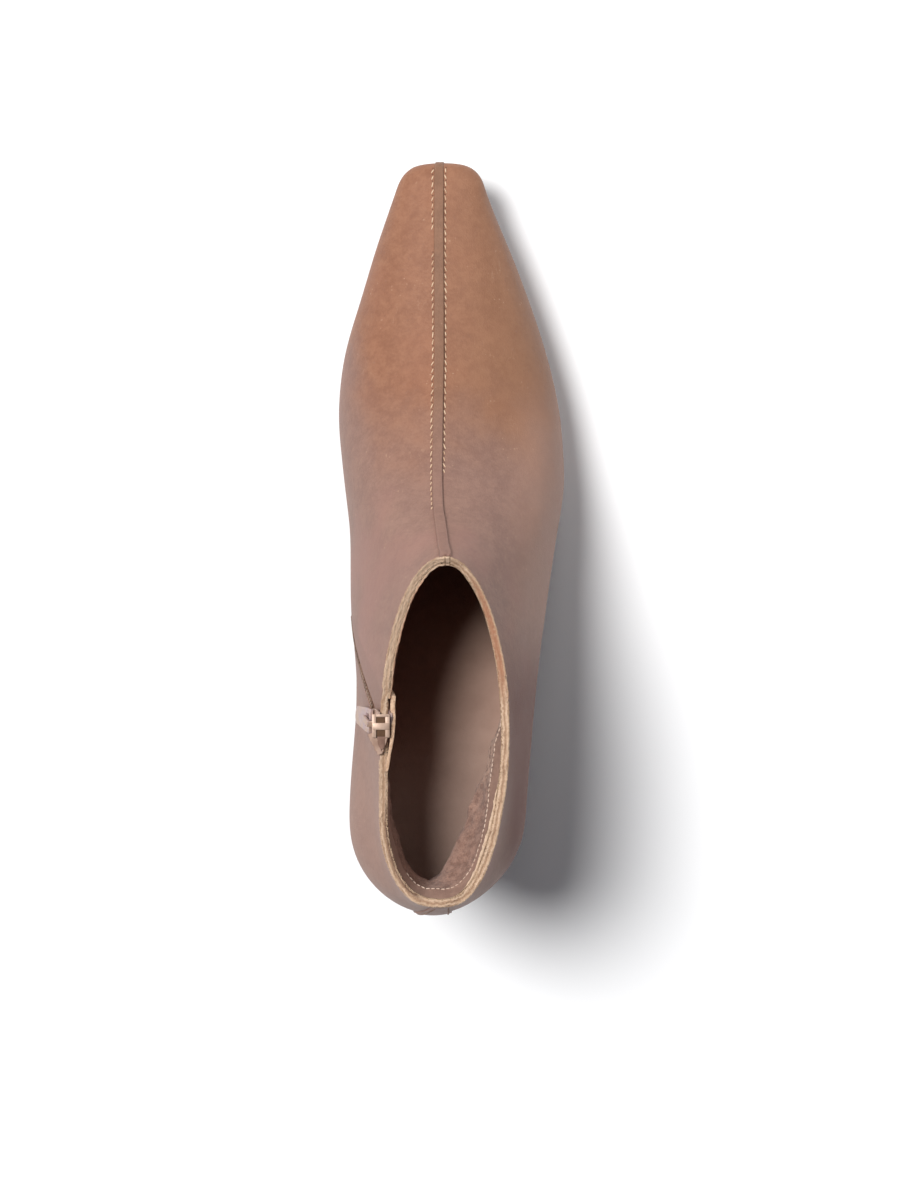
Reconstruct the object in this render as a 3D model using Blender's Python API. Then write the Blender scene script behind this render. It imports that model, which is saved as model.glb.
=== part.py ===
"""Heeled ankle boot for the right foot: leather upper with a centre front seam, side zip and stacked heel.

Metres, +Z up. The toe points along +Y and the inner (medial) side of the foot is at -X.
The sizes below are in millimetres and are turned into metres when a mesh is made.
"""

import math

import bmesh
import bpy
import numpy as np
from mathutils import Matrix, Vector
from mathutils.bvhtree import BVHTree

MM = 0.001

# Driving sizes
LENGTH = 262.0
WALL = 2.6
GAP = 0.3
LASTING_MARGIN = 7.0
MARGIN_TURNS_AT = (32.0, 232.0)

# Ends of the plan outline: length of the rounded end and how square it is
HEEL_END = 30.0
HEEL_END_POWER = 1.85
TOE_END = 11.0
TOE_END_POWER = 3.2

# Collar: an oval in plan
COLLAR_AXIS = -2.4
COLLAR_CENTRE = 62.0
COLLAR_HALF_WIDTH = 21.5
COLLAR_TO_THROAT = 59.5
COLLAR_TO_BACK = 57.8
COLLAR_BACK_ROUND = {"medial": 28.8, "lateral": 57.8}

# Rib numbers: 0 is the back seam, THROAT the front of the collar, TOE the front of the toe
THROAT = 1.0
TOE_CORNER = 1.72
TOE = 2.0
HEEL_SIDE = 0.22
RIDGE_AT_TOE = 252.0
THROAT_STATION = 150.0
BLEND_REACH = 0.42
BLEND_WIDTH = 0.17
BLEND_WEIGHTS = (1, 2, 3, 4, 3, 2, 1)

# Heights on a rib: the lasting margin to 0, the tuck below the widest line to 1, the side above it to 2
MARGIN_EDGE = -1.0
FEATHER = 0.0
WIDEST = 1.0
TOP = 2.0

# Zip on the medial side
ZIP_RIB = 0.511
ZIP_HALF_SLOT = 0.0115
ZIP_STATION = 101.5
ZIP_FOOT = WIDEST
CHAIN_HALF_WIDTH = 0.009
CHAIN_SINK = 0.4
CHAIN_THICKNESS = 1.7
TAPE_HALF_WIDTH = 0.055
TAPE_THICKNESS = 0.6
GUARD_BEHIND = 0.032
GUARD_AHEAD = 0.06
GUARD_THICKNESS = 1.4

# Slider and pull
SLIDER_HEIGHT = 10.0
SLIDER_TOP_WIDTH = 8.6
SLIDER_FOOT_WIDTH = 6.4
SLIDER_PLATE = 0.9
SLIDER_CLEARANCE = 0.35
SLIDER_ABOVE_COLLAR = 0.6
POST_WIDTH = 1.9
POST_HEIGHT = 3.4
CROWN_WIDTH = 2.0
CROWN_LENGTH = 7.6
CROWN_BAR = 0.9
CROWN_OPENING = 2.2
PULL_LENGTH = 23.0
PULL_TOP_WIDTH = 8.0
PULL_FOOT_WIDTH = 6.0
PULL_THICKNESS = 1.2
PULL_BAR = 0.7
PULL_WINDOW_LENGTH = 4.8
PULL_WINDOW_WIDTH = 4.4
PULL_LEAN = 2.0
PULL_SWAY = 11.0
SLIDER_TILT = 14.0

# Centre seam piping and back strip, which lie on the upper
PIPING_HALF_WIDTH = 1.7
PIPING_EDGE = 0.75
PIPING_HEIGHT = 1.2
PIPING_FOOT = 0.4
BACK_STRIP_HALF_WIDTH = 0.034
BACK_STRIP_HEIGHT = 1.0

# Sole, insole and heel
SOLE_EDGE = 1.3
SOLE_ROUND = 0.7
INSOLE_THICKNESS = 2.5
INSOLE_LOW_EDGE = -0.7
INSOLE_HIGH_EDGE = 0.5
LIFT_THICKNESS = 6.0
LIFT_ROUND = 0.8
HEEL_SEAT_EDGE = 0.8
HEEL_BREAST = 56.0
HEEL_BASE_BREAST = 47.0
HEEL_BASE_BACK = 9.5
HEEL_BASE_WIDTH = 0.86
BREAST_HOLLOW = 3.5
BREAST_POINTS = 3


def table(columns, *rows):
    """Rows of numbers with named columns, each read along the first column."""
    values = np.array(rows, float)
    return {name: (values[:, 0], values[:, k]) for k, name in enumerate(columns.split())}


# Plan and side of the last: the widest line about its own axis, how high it is over the feather edge
# and how far the feather edge is tucked in below it
OUTLINE = table(
    "from_heel axis medial lateral widest tuck",
    (0, -6.8, 29.6, 29.6, 26, 10.6),
    (35, -4.8, 30.4, 30.5, 21.5, 8.4),
    (76, -4.5, 28.2, 33.9, 20, 8.0),
    (107, -4.5, 30.8, 38.0, 20, 8.0),
    (128, -4.5, 31.3, 41.5, 18, 7.6),
    (150, -4.5, 33.9, 44.9, 15, 7.0),
    (173, -4.5, 36.0, 43.3, 13, 6.6),
    (192, -4.3, 34.4, 39.0, 12, 6.4),
    (213, -4.0, 28.6, 31.9, 11, 6.0),
    (235, -3.6, 22.3, 22.9, 10, 5.4),
    (251, -3.3, 16.9, 15.9, 8.6, 4.8),
    (262, -3.0, 14.2, 13.2, 8.0, 4.6),
)

# Underside of the sole over the floor: heel seat, arch, flat tread and toe spring
SOLE = table(
    "from_heel underside thickness",
    (0, 54.0, 3.0),
    (28, 51.2, 3.0),
    (55, 46.0, 3.0),
    (85, 33.5, 3.0),
    (115, 16.5, 3.2),
    (140, 4.8, 3.5),
    (162, 0.0, 3.6),
    (196, 0.0, 3.6),
    (225, 2.6, 3.6),
    (262, 9.5, 3.6),
)

# Centre line of the vamp, from the throat down to the toe, and the seam's place across
RIDGE = table(
    "from_heel height across",
    (121.5, 112.0, -2.4),
    (130, 94.0, -3.6),
    (139, 79.5, -4.6),
    (150, 68.0, -4.8),
    (165, 58.5, -4.7),
    (185, 50.0, -4.4),
    (210, 41.5, -4.0),
    (235, 34.0, -3.7),
    (252, 28.0, -3.4),
)

# Height of the collar's edge from the back seam round to the throat
COLLAR = table(
    "rib height",
    (0, 122.0),
    (0.25, 117.0),
    (0.5, 110.5),
    (0.75, 107.5),
    (0.9, 109.2),
    (THROAT, 112.0),
)

# Shape of each rib above the widest line: slope at its top, and the lengths of its two handles
RIBS = table(
    "rib slope rise reach",
    (0, 86, 0.36, 0.33),
    (0.3, 83, 0.36, 0.33),
    (0.55, 80, 0.36, 0.30),
    (0.75, 74, 0.38, 0.27),
    (0.9, 67, 0.41, 0.24),
    (THROAT, 58, 0.44, 0.22),
    (1.1, 44, 0.47, 0.22),
    (1.25, 24, 0.52, 0.25),
    (1.4, 13, 0.56, 0.30),
    (1.6, 9, 0.58, 0.35),
    (1.8, 12, 0.58, 0.36),
    (TOE, 20, 0.58, 0.40),
)


def read(rows, column, at):
    """Monotone cubic through a column, so that flat stretches stay flat and nothing overshoots."""
    knots, values = rows[column]
    steps = np.diff(knots)
    slopes = np.diff(values) / steps
    tangents = np.empty(len(knots))
    tangents[0], tangents[-1] = slopes[0], slopes[-1]
    for k in range(1, len(knots) - 1):
        before, after = slopes[k - 1], slopes[k]
        if before * after <= 0:
            tangents[k] = 0.0
            continue
        weight_before = 2 * steps[k] + steps[k - 1]
        weight_after = steps[k] + 2 * steps[k - 1]
        tangents[k] = (weight_before + weight_after) / (weight_before / before + weight_after / after)
    k = int(np.clip(np.searchsorted(knots, at) - 1, 0, len(steps) - 1))
    t = min(max((at - knots[k]) / steps[k], 0.0), 1.0)
    return (
        (1 + 2 * t) * (1 - t) ** 2 * values[k]
        + t * (1 - t) ** 2 * steps[k] * tangents[k]
        + t * t * (3 - 2 * t) * values[k + 1]
        + t * t * (t - 1) * steps[k] * tangents[k + 1]
    )


def unit(vector):
    return vector / np.linalg.norm(vector)


def rounded_end(share, power):
    """Width left at this share of the way into a rounded end, 1 at its start and 0 at its tip."""
    return max(0.0, 1.0 - share**power) ** (1.0 / power)


# Rib number to the station where it starts on the widest line
STATIONS = table(
    "rib station",
    (HEEL_SIDE, HEEL_END),
    (ZIP_RIB, ZIP_STATION),
    (THROAT, THROAT_STATION),
    (TOE_CORNER, LENGTH - TOE_END),
)


def station(rib):
    """Distance from the back of the heel at which a rib crosses the widest line."""
    if rib < HEEL_SIDE:
        return HEEL_END * (1 - math.cos(math.pi / 2 * rib / HEEL_SIDE))
    if rib > TOE_CORNER:
        turn = (rib - TOE_CORNER) / (TOE - TOE_CORNER)
        return LENGTH - TOE_END + TOE_END * math.sin(math.pi / 2 * turn)
    return read(STATIONS, "station", rib)


def mirrored(side):
    return "lateral" if side == "medial" else "medial"


def around(side, rib):
    """A rib number that runs past the heel or the toe, as a rib of the other side."""
    if rib < 0:
        return mirrored(side), -rib
    if rib > TOE:
        return mirrored(side), 2 * TOE - rib
    return side, rib


def widest_point(side, rib):
    """Plan point of the widest line, which is the boot's outline from above."""
    side, rib = around(side, rib)
    at = station(rib)
    half = read(OUTLINE, side, at)
    half *= rounded_end(max(0.0, (HEEL_END - at) / HEEL_END), HEEL_END_POWER)
    half *= rounded_end(max(0.0, (at - LENGTH + TOE_END) / TOE_END), TOE_END_POWER)
    across = half if side == "lateral" else -half
    return np.array([read(OUTLINE, "axis", at) + across, at - LENGTH / 2])


def outward(side, rib):
    """Plan direction square to the outline, away from the foot."""
    step = 0.004
    run = unit(widest_point(side, rib + step) - widest_point(side, rib - step))
    return np.array([run[1], -run[0]]) if side == "lateral" else np.array([-run[1], run[0]])


def feather_height(at):
    return read(SOLE, "underside", at) + read(SOLE, "thickness", at) + GAP


def feather_plan(side, rib, edge=0.0):
    """Plan point of the feather edge, where upper and sole meet, moved out by edge."""
    tuck = read(OUTLINE, "tuck", station(around(side, rib)[1]))
    return widest_point(side, rib) + outward(side, rib) * (edge - tuck)


def feather_point(side, rib, edge=0.0, lift=0.0):
    """Point of the feather edge, moved out by edge and up by lift."""
    plan = feather_plan(side, rib, edge)
    return np.array([plan[0], plan[1], feather_height(plan[1] + LENGTH / 2) + lift])


def top_point(side, rib):
    """Upper end of a rib: on the collar's edge behind the throat, on the centre seam before it."""
    if rib <= THROAT:
        turn = math.pi * (1 - rib / THROAT)
        ahead = math.cos(turn) > 0
        along = COLLAR_CENTRE + math.cos(turn) * (COLLAR_TO_THROAT if ahead else COLLAR_TO_BACK)
        rounding = COLLAR_BACK_ROUND[side]
        from_back = along - COLLAR_CENTRE + COLLAR_TO_BACK
        half = COLLAR_HALF_WIDTH * rounded_end(max(0.0, 1.0 - from_back / rounding), 2.0)
        if ahead:
            half = COLLAR_HALF_WIDTH * abs(math.sin(turn))
        across = half if side == "lateral" else -half
        return np.array([COLLAR_AXIS + across, along - LENGTH / 2, read(COLLAR, "height", rib)])
    throat = COLLAR_CENTRE + COLLAR_TO_THROAT
    share = (station(rib) - THROAT_STATION) / (LENGTH - THROAT_STATION)
    along = throat + (RIDGE_AT_TOE - throat) * share
    return np.array([read(RIDGE, "across", along), along - LENGTH / 2, read(RIDGE, "height", along)])


def margin_point(side, rib, width):
    """Point of the lasting margin, which runs in from the feather edge towards the middle of the foot."""
    edge = feather_plan(side, rib)
    at = float(np.clip(edge[1] + LENGTH / 2, *MARGIN_TURNS_AT))
    middle = np.array([read(OUTLINE, "axis", at), at - LENGTH / 2])
    plan = edge + unit(middle - edge) * width
    return np.array([plan[0], plan[1], feather_height(plan[1] + LENGTH / 2)])


def rib_point(side, rib, height):
    """Point of one rib of the upper's outer surface."""
    side, rib = around(side, rib)
    at = station(rib)
    out = np.append(outward(side, rib), 0.0)
    if height <= FEATHER:
        return margin_point(side, rib, LASTING_MARGIN * -height)
    feather = feather_point(side, rib)
    tuck = read(OUTLINE, "tuck", at)
    rise = read(OUTLINE, "widest", at)
    if height <= WIDEST:
        turn = math.pi / 2 * height
        return feather + out * tuck * math.sin(turn) + np.array([0, 0, rise * (1 - math.cos(turn))])
    widest = feather + out * tuck + np.array([0, 0, rise])
    top = top_point(side, rib)
    chord = top - widest
    along_wall = chord - out * chord.dot(out)
    slope = math.radians(read(RIBS, "slope", rib))
    arrival = -out * math.cos(slope) + unit(along_wall) * math.sin(slope)
    low_handle = widest + along_wall * read(RIBS, "rise", rib)
    high_handle = top - arrival * np.linalg.norm(chord) * read(RIBS, "reach", rib)
    t = height - WIDEST
    return (
        (1 - t) ** 3 * widest
        + 3 * (1 - t) ** 2 * t * low_handle
        + 3 * (1 - t) * t * t * high_handle
        + t**3 * top
    )


def upper_point(side, rib, height):
    """Point of the upper's outer surface: the ribs near the throat are averaged with their neighbours,
    so that the leg runs into the vamp without a crease."""
    near_throat = max(0.0, 1.0 - ((rib - THROAT) / BLEND_REACH) ** 2) ** 2
    on_side = max(0.0, 1.0 - (2 * (height - WIDEST) - 1) ** 4)
    reach = BLEND_WIDTH * near_throat * on_side
    if reach == 0.0:
        return rib_point(side, rib, height)
    total = np.zeros(3)
    for step, weight in zip(range(-3, 4), BLEND_WEIGHTS):
        total += rib_point(side, rib + reach * step / 3, height) * weight
    return total / sum(BLEND_WEIGHTS)


def upper_normal(side, rib, height):
    """Direction square to the upper's outer surface, away from the foot."""
    step = 0.004
    high, low = min(height + step, TOP), max(height - step, FEATHER)
    along = upper_point(side, rib + step, height) - upper_point(side, rib - step, height)
    up = upper_point(side, rib, high) - upper_point(side, rib, low)
    square = unit(np.cross(along, up))
    return square if side == "lateral" else -square


def new_object(name, bm, material):
    """Turns a bmesh in millimetres into a named object in metres."""
    bmesh.ops.scale(bm, vec=(MM, MM, MM), verts=bm.verts)
    mesh = bpy.data.meshes.new(name)
    bm.to_mesh(mesh)
    bm.free()
    mesh.materials.append(material)
    mesh.shade_smooth()
    mesh.set_sharp_from_angle(angle=math.radians(40))
    obj = bpy.data.objects.new(name, mesh)
    bpy.context.scene.collection.objects.link(obj)
    return obj


def principled(name, colour, roughness, metallic=0.0):
    material = bpy.data.materials.new(name)
    material.use_nodes = True
    shader = material.node_tree.nodes["Principled BSDF"]
    shader.inputs["Base Color"].default_value = (*colour, 1.0)
    shader.inputs["Roughness"].default_value = roughness
    shader.inputs["Metallic"].default_value = metallic
    return material


def slab(name, low, high, material):
    """Closed solid between two grids of points of the same size."""
    bm = bmesh.new()
    rows, columns = len(low), len(low[0])
    under = [[bm.verts.new(p) for p in row] for row in low]
    over = [[bm.verts.new(p) for p in row] for row in high]
    for i in range(rows - 1):
        for j in range(columns - 1):
            bm.faces.new((over[i][j], over[i + 1][j], over[i + 1][j + 1], over[i][j + 1]))
            bm.faces.new((under[i][j], under[i][j + 1], under[i + 1][j + 1], under[i + 1][j]))
    rim = [(i, 0) for i in range(rows)] + [(rows - 1, j) for j in range(1, columns)]
    rim += [(i, columns - 1) for i in range(rows - 2, -1, -1)]
    rim += [(0, j) for j in range(columns - 2, 0, -1)]
    for (i, j), (k, m) in zip(rim, rim[1:] + rim[:1]):
        bm.faces.new((over[i][j], under[i][j], under[k][m], over[k][m]))
    bmesh.ops.recalc_face_normals(bm, faces=bm.faces)
    return new_object(name, bm, material)


def patch_of_upper(name, side, ribs, heights, low, high, material):
    """Closed solid that follows the upper between two distances from its outer surface."""
    grids = []
    for distance in (low, high):
        grids.append(
            [
                [upper_point(side, r, h) + upper_normal(side, r, h) * distance for h in heights]
                for r in ribs
            ]
        )
    return slab(name, grids[0], grids[1], material)


def stack(name, rings, material, front=1):
    """Closed solid through rings that lie over each other. Each ring starts at its back centre and has
    its front centre half way round, so the two ends are closed by a ladder of faces across the ring
    and one face that takes in this many points on each side of the front centre."""
    bm = bmesh.new()
    count = len(rings[0])
    layers = [[bm.verts.new(p) for p in ring] for ring in rings]
    for low, high in zip(layers, layers[1:]):
        for k in range(count):
            after = (k + 1) % count
            bm.faces.new((low[k], low[after], high[after], high[k]))
    for layer in (layers[0], layers[-1]):
        half = count // 2
        bm.faces.new((layer[0], layer[1], layer[-1]))
        for k in range(1, half - front):
            bm.faces.new((layer[k], layer[k + 1], layer[-k - 1], layer[-k]))
        bm.faces.new(layer[half - front : half + front + 1])
    bmesh.ops.recalc_face_normals(bm, faces=bm.faces)
    return new_object(name, bm, material)


def spread(first, last, count):
    return [first + (last - first) * k / count for k in range(count + 1)]


def rib_numbers():
    """Ribs from the back seam to the toe, with one pair on the two edges of the zip slot."""
    behind = spread(0.0, ZIP_RIB - ZIP_HALF_SLOT, 12)
    ahead = spread(ZIP_RIB + ZIP_HALF_SLOT, THROAT, 9)
    vamp = spread(THROAT, TOE_CORNER, 11)
    toe = spread(TOE_CORNER, TOE, 5)
    return behind + ahead + vamp[1:] + toe[1:]


def height_numbers():
    """Heights on a rib from the lasting margin to the top."""
    return [MARGIN_EDGE, FEATHER, 0.34, 0.67] + spread(WIDEST, TOP, 9)


def upper_surface():
    """The outer surface as an open mesh, with the zip slot left out."""
    ribs, heights = rib_numbers(), height_numbers()
    bm = bmesh.new()
    for side in ("medial", "lateral"):
        grid = [[bm.verts.new(upper_point(side, r, h)) for h in heights] for r in ribs]
        for i in range(len(ribs) - 1):
            in_slot = side == "medial" and abs((ribs[i] + ribs[i + 1]) / 2 - ZIP_RIB) < ZIP_HALF_SLOT
            for j in range(len(heights) - 1):
                if in_slot and heights[j] >= ZIP_FOOT:
                    continue
                corners = (grid[i][j], grid[i + 1][j], grid[i + 1][j + 1], grid[i][j + 1])
                bm.faces.new(corners if side == "lateral" else corners[::-1])
    bmesh.ops.remove_doubles(bm, verts=bm.verts, dist=0.001)
    return bm


def make_upper(leather):
    obj = new_object("upper", upper_surface(), leather)
    shell = obj.modifiers.new("wall", "SOLIDIFY")
    shell.thickness = WALL * MM
    shell.offset = -1.0
    shell.use_even_offset = True
    shell.use_quality_normals = True
    return obj


def both_sides(point):
    """A ring round the foot: up the medial side from the back seam to the toe, and back by the lateral."""
    ribs = [r for r in rib_numbers() if abs(r - ZIP_RIB) > ZIP_HALF_SLOT * 1.5]
    there = [point("medial", r) for r in ribs]
    back = [point("lateral", r) for r in ribs[-2:0:-1]]
    return there + back


def make_outsole(rubber):
    def ring(edge, share):
        """Ring at this share of the thickness, 0 on the floor side and 1 under the upper."""

        def point(side, rib):
            plan = feather_plan(side, rib, edge)
            thickness = read(SOLE, "thickness", plan[1] + LENGTH / 2)
            return feather_point(side, rib, edge, -GAP - thickness * (1 - share))

        return both_sides(point)

    rings = [
        ring(SOLE_EDGE - SOLE_ROUND, 0.0),
        ring(SOLE_EDGE, 0.25),
        ring(SOLE_EDGE, 0.8),
        ring(SOLE_EDGE - SOLE_ROUND, 1.0),
    ]
    return stack("outsole", rings, rubber)


def make_insole(sock):
    def ring(edge, lift):
        """Ring this far over the lasting margin's inner face, measured square to its slope."""

        def point(side, rib):
            at = feather_plan(side, rib, edge)[1] + LENGTH / 2
            slope = feather_height(at + 0.5) - feather_height(at - 0.5)
            return feather_point(side, rib, edge, (WALL + GAP + lift) * math.hypot(1.0, slope))

        return both_sides(point)

    rings = [
        ring(INSOLE_LOW_EDGE, 0.0),
        ring((INSOLE_LOW_EDGE + INSOLE_HIGH_EDGE) / 2, INSOLE_THICKNESS * 0.4),
        ring(INSOLE_HIGH_EDGE, INSOLE_THICKNESS),
    ]
    return stack("insole", rings, sock)


def heel_outline():
    """Plan of the heel seat: round the back to the breast, with the breast hollowed."""
    last = HEEL_BREAST - BREAST_HOLLOW - 1.0 - LENGTH / 2
    ribs = [r for r in spread(0.0, 0.5, 26) if feather_plan("medial", r)[1] < last]
    sides = {side: [feather_plan(side, r, HEEL_SEAT_EDGE) for r in ribs] for side in ("medial", "lateral")}
    corners = {side: sides[side][-1] * [1, 0] + [0, HEEL_BREAST - LENGTH / 2] for side in sides}
    middle = (corners["medial"] + corners["lateral"]) / 2
    breast = {side: (corners[side] + middle) / 2 - [0, BREAST_HOLLOW * 0.75] for side in sides}
    there = sides["medial"] + [corners["medial"], breast["medial"], middle - [0, BREAST_HOLLOW]]
    back = [breast["lateral"], corners["lateral"]] + sides["lateral"][:0:-1]
    return [np.array(p) for p in there + back]


def heel_base_point(seat):
    """Plan point of the heel's base under a plan point of the heel seat."""
    axis = read(OUTLINE, "axis", 25.0)
    from_heel = seat[1] + LENGTH / 2
    seat_back = feather_point("medial", 0.0, HEEL_SEAT_EDGE)[1] + LENGTH / 2
    share = (from_heel - seat_back) / (HEEL_BREAST - seat_back)
    along = HEEL_BASE_BACK + (HEEL_BASE_BREAST - HEEL_BASE_BACK) * share
    return np.array([axis + (seat[0] - axis) * HEEL_BASE_WIDTH, along - LENGTH / 2])


def make_heel_block(leather):
    levels = (0.0, 0.12, 0.3, 0.55, 0.8, 1.0)
    rings = []
    for share in levels:
        ring = []
        for seat in heel_outline():
            base = heel_base_point(seat)
            flare = share**1.6
            plan = base + (seat - base) * flare
            foot = LIFT_THICKNESS + GAP
            head = read(SOLE, "underside", plan[1] + LENGTH / 2) - GAP
            ring.append((plan[0], plan[1], foot + (head - foot) * share))
        rings.append(ring)
    return stack("heel_block", rings, leather, BREAST_POINTS)


def make_top_lift(rubber):
    def ring(inset, height):
        points = [heel_base_point(seat) for seat in heel_outline()]
        centre = np.mean(points, axis=0)
        return [(*(p - unit(p - centre) * inset), height) for p in points]

    rings = [ring(LIFT_ROUND, 0.0), ring(0.0, LIFT_ROUND), ring(0.0, LIFT_THICKNESS)]
    return stack("top_lift", rings, rubber, BREAST_POINTS)


def piping_path():
    """Points from the throat along the centre seam and down the front of the toe."""
    ridge = [upper_point("medial", r, TOP) for r in spread(THROAT + 0.012, TOE, 30)]
    front = [upper_point("medial", TOE, h) for h in spread(TOP, PIPING_FOOT, 8)]
    return ridge + front[1:]


# Section of the piping: place across it from -1 to 1, and height over the upper
PIPING_SECTION = (
    (-1, GAP),
    (-1, PIPING_EDGE),
    (-0.55, PIPING_HEIGHT),
    (0, PIPING_HEIGHT),
    (0.55, PIPING_HEIGHT),
    (1, PIPING_EDGE),
    (1, GAP),
    (0, GAP),
)


def make_piping(leather):
    surface = upper_surface()
    tree = BVHTree.FromBMesh(surface)
    path = piping_path()
    sections = []
    for k, point in enumerate(path):
        run = unit(path[min(k + 1, len(path) - 1)] - path[max(k - 1, 0)])
        across = unit(np.array([1.0, 0, 0]) - run * run[0])
        out = np.cross(across, run)
        section = []
        for share, height in PIPING_SECTION:
            start = point + across * PIPING_HALF_WIDTH * share + out * LASTING_MARGIN
            hit = tree.ray_cast(Vector(start), Vector(-out))[0]
            section.append(np.array(hit) + out * height)
        sections.append(section)
    surface.free()
    bm = bmesh.new()
    rings = [[bm.verts.new(p) for p in section] for section in sections]
    count = len(rings[0])
    for ring, after in zip(rings, rings[1:]):
        for k in range(count):
            bm.faces.new((ring[k], ring[(k + 1) % count], after[(k + 1) % count], after[k]))
    bm.faces.new(rings[0])
    bm.faces.new(rings[-1])
    bmesh.ops.recalc_face_normals(bm, faces=bm.faces)
    return new_object("seam_piping", bm, leather)


def make_back_strip(leather):
    ribs = spread(-BACK_STRIP_HALF_WIDTH, BACK_STRIP_HALF_WIDTH, 6)
    heights = spread(0.35, TOP - 0.03, 12)
    return patch_of_upper("back_strip", "medial", ribs, heights, GAP, BACK_STRIP_HEIGHT, leather)


def height_below_collar(distance):
    """Height number on the zip's rib at this distance down from the collar's edge."""
    height, point, walked, step = TOP, upper_point("medial", ZIP_RIB, TOP), 0.0, 0.002
    while walked < distance:
        height -= step
        lower = upper_point("medial", ZIP_RIB, height)
        walked += np.linalg.norm(lower - point)
        point = lower
    return height


def slider_frame():
    """Origin on the upper's surface at the slider's middle, with axes across it, down it and outward.
    The slider stands steeper than the zip, which slants forward."""
    height = height_below_collar(SLIDER_HEIGHT / 2 - SLIDER_ABOVE_COLLAR)
    origin = upper_point("medial", ZIP_RIB, height)
    out = upper_normal("medial", ZIP_RIB, height)
    below = upper_point("medial", ZIP_RIB, height - 0.02) - origin
    down = unit(below - out * below.dot(out))
    across = np.cross(down, out)
    across, down = turned(across, down, SLIDER_TILT)
    return origin, across, down, out


def turned(across, down, degrees):
    """The two axes of a plate that is turned in its own plane, so that its foot moves to the back."""
    angle = math.radians(degrees)
    return (
        across * math.cos(angle) + down * math.sin(angle),
        down * math.cos(angle) - across * math.sin(angle),
    )


def make_zip(teeth, tape, leather):
    below_slider = height_below_collar(SLIDER_HEIGHT - SLIDER_ABOVE_COLLAR + 8 * GAP)
    heights = spread(ZIP_FOOT + 0.012, below_slider, 12)
    chain_ribs = spread(ZIP_RIB - CHAIN_HALF_WIDTH, ZIP_RIB + CHAIN_HALF_WIDTH, 2)
    patch_of_upper(
        "zip_chain", "medial", chain_ribs, heights, -CHAIN_SINK - CHAIN_THICKNESS, -CHAIN_SINK, teeth
    )
    tape_face = -WALL - GAP
    tape_ribs = spread(ZIP_RIB - TAPE_HALF_WIDTH, ZIP_RIB + TAPE_HALF_WIDTH, 6)
    tape_heights = spread(ZIP_FOOT - 0.12, below_slider, 12)
    patch_of_upper("zip_tape", "medial", tape_ribs, tape_heights, tape_face - TAPE_THICKNESS, tape_face, tape)
    guard_face = -WALL - SLIDER_CLEARANCE - SLIDER_PLATE - GAP
    guard_ribs = spread(ZIP_RIB - GUARD_BEHIND, ZIP_RIB + GUARD_AHEAD, 7)
    guard_heights = spread(ZIP_FOOT - 0.12, TOP, 12)
    patch_of_upper(
        "zip_guard", "medial", guard_ribs, guard_heights, guard_face - GUARD_THICKNESS, guard_face, leather
    )


def prism(outline, low, high):
    """Closed mesh of a plan outline between two heights, in millimetres."""
    bm = bmesh.new()
    face = bm.faces.new([bm.verts.new((*p, low)) for p in outline])
    lifted = bmesh.ops.extrude_face_region(bm, geom=[face])["geom"]
    corners = [v for v in lifted if isinstance(v, bmesh.types.BMVert)]
    bmesh.ops.translate(bm, vec=(0, 0, high - low), verts=corners)
    bmesh.ops.recalc_face_normals(bm, faces=bm.faces)
    return bm


def helper(name, bm, material):
    """An object that only shapes another one through a Boolean."""
    obj = new_object(name, bm, material)
    obj.hide_render = True
    obj.display_type = "WIRE"
    return obj


def combine(obj, other, operation):
    modifier = obj.modifiers.new(other.name, "BOOLEAN")
    modifier.operation = operation
    modifier.object = other
    modifier.solver = "EXACT"


def shield(top_width, foot_width, top, foot, corner):
    """Outline of a slider plate, wide at the top and narrowing to the foot, with cut corners."""
    return [
        (-top_width / 2 + corner, top),
        (top_width / 2 - corner, top),
        (top_width / 2, top + corner),
        (top_width / 2, (top + foot) / 2),
        (foot_width / 2, foot - corner),
        (foot_width / 2 - corner, foot),
        (-foot_width / 2 + corner, foot),
        (-foot_width / 2, foot - corner),
        (-top_width / 2, (top + foot) / 2),
        (-top_width / 2, top + corner),
    ]


def rectangle(width, top, foot):
    return [(-width / 2, top), (width / 2, top), (width / 2, foot), (-width / 2, foot)]


def frame_matrix(origin, across, down, out):
    """Places a piece whose X runs across the zip, Y down it and Z away from the foot."""
    matrix = Matrix(np.column_stack([across, down, out]).tolist()).to_4x4()
    matrix.translation = Vector(origin) * MM
    return matrix


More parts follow.
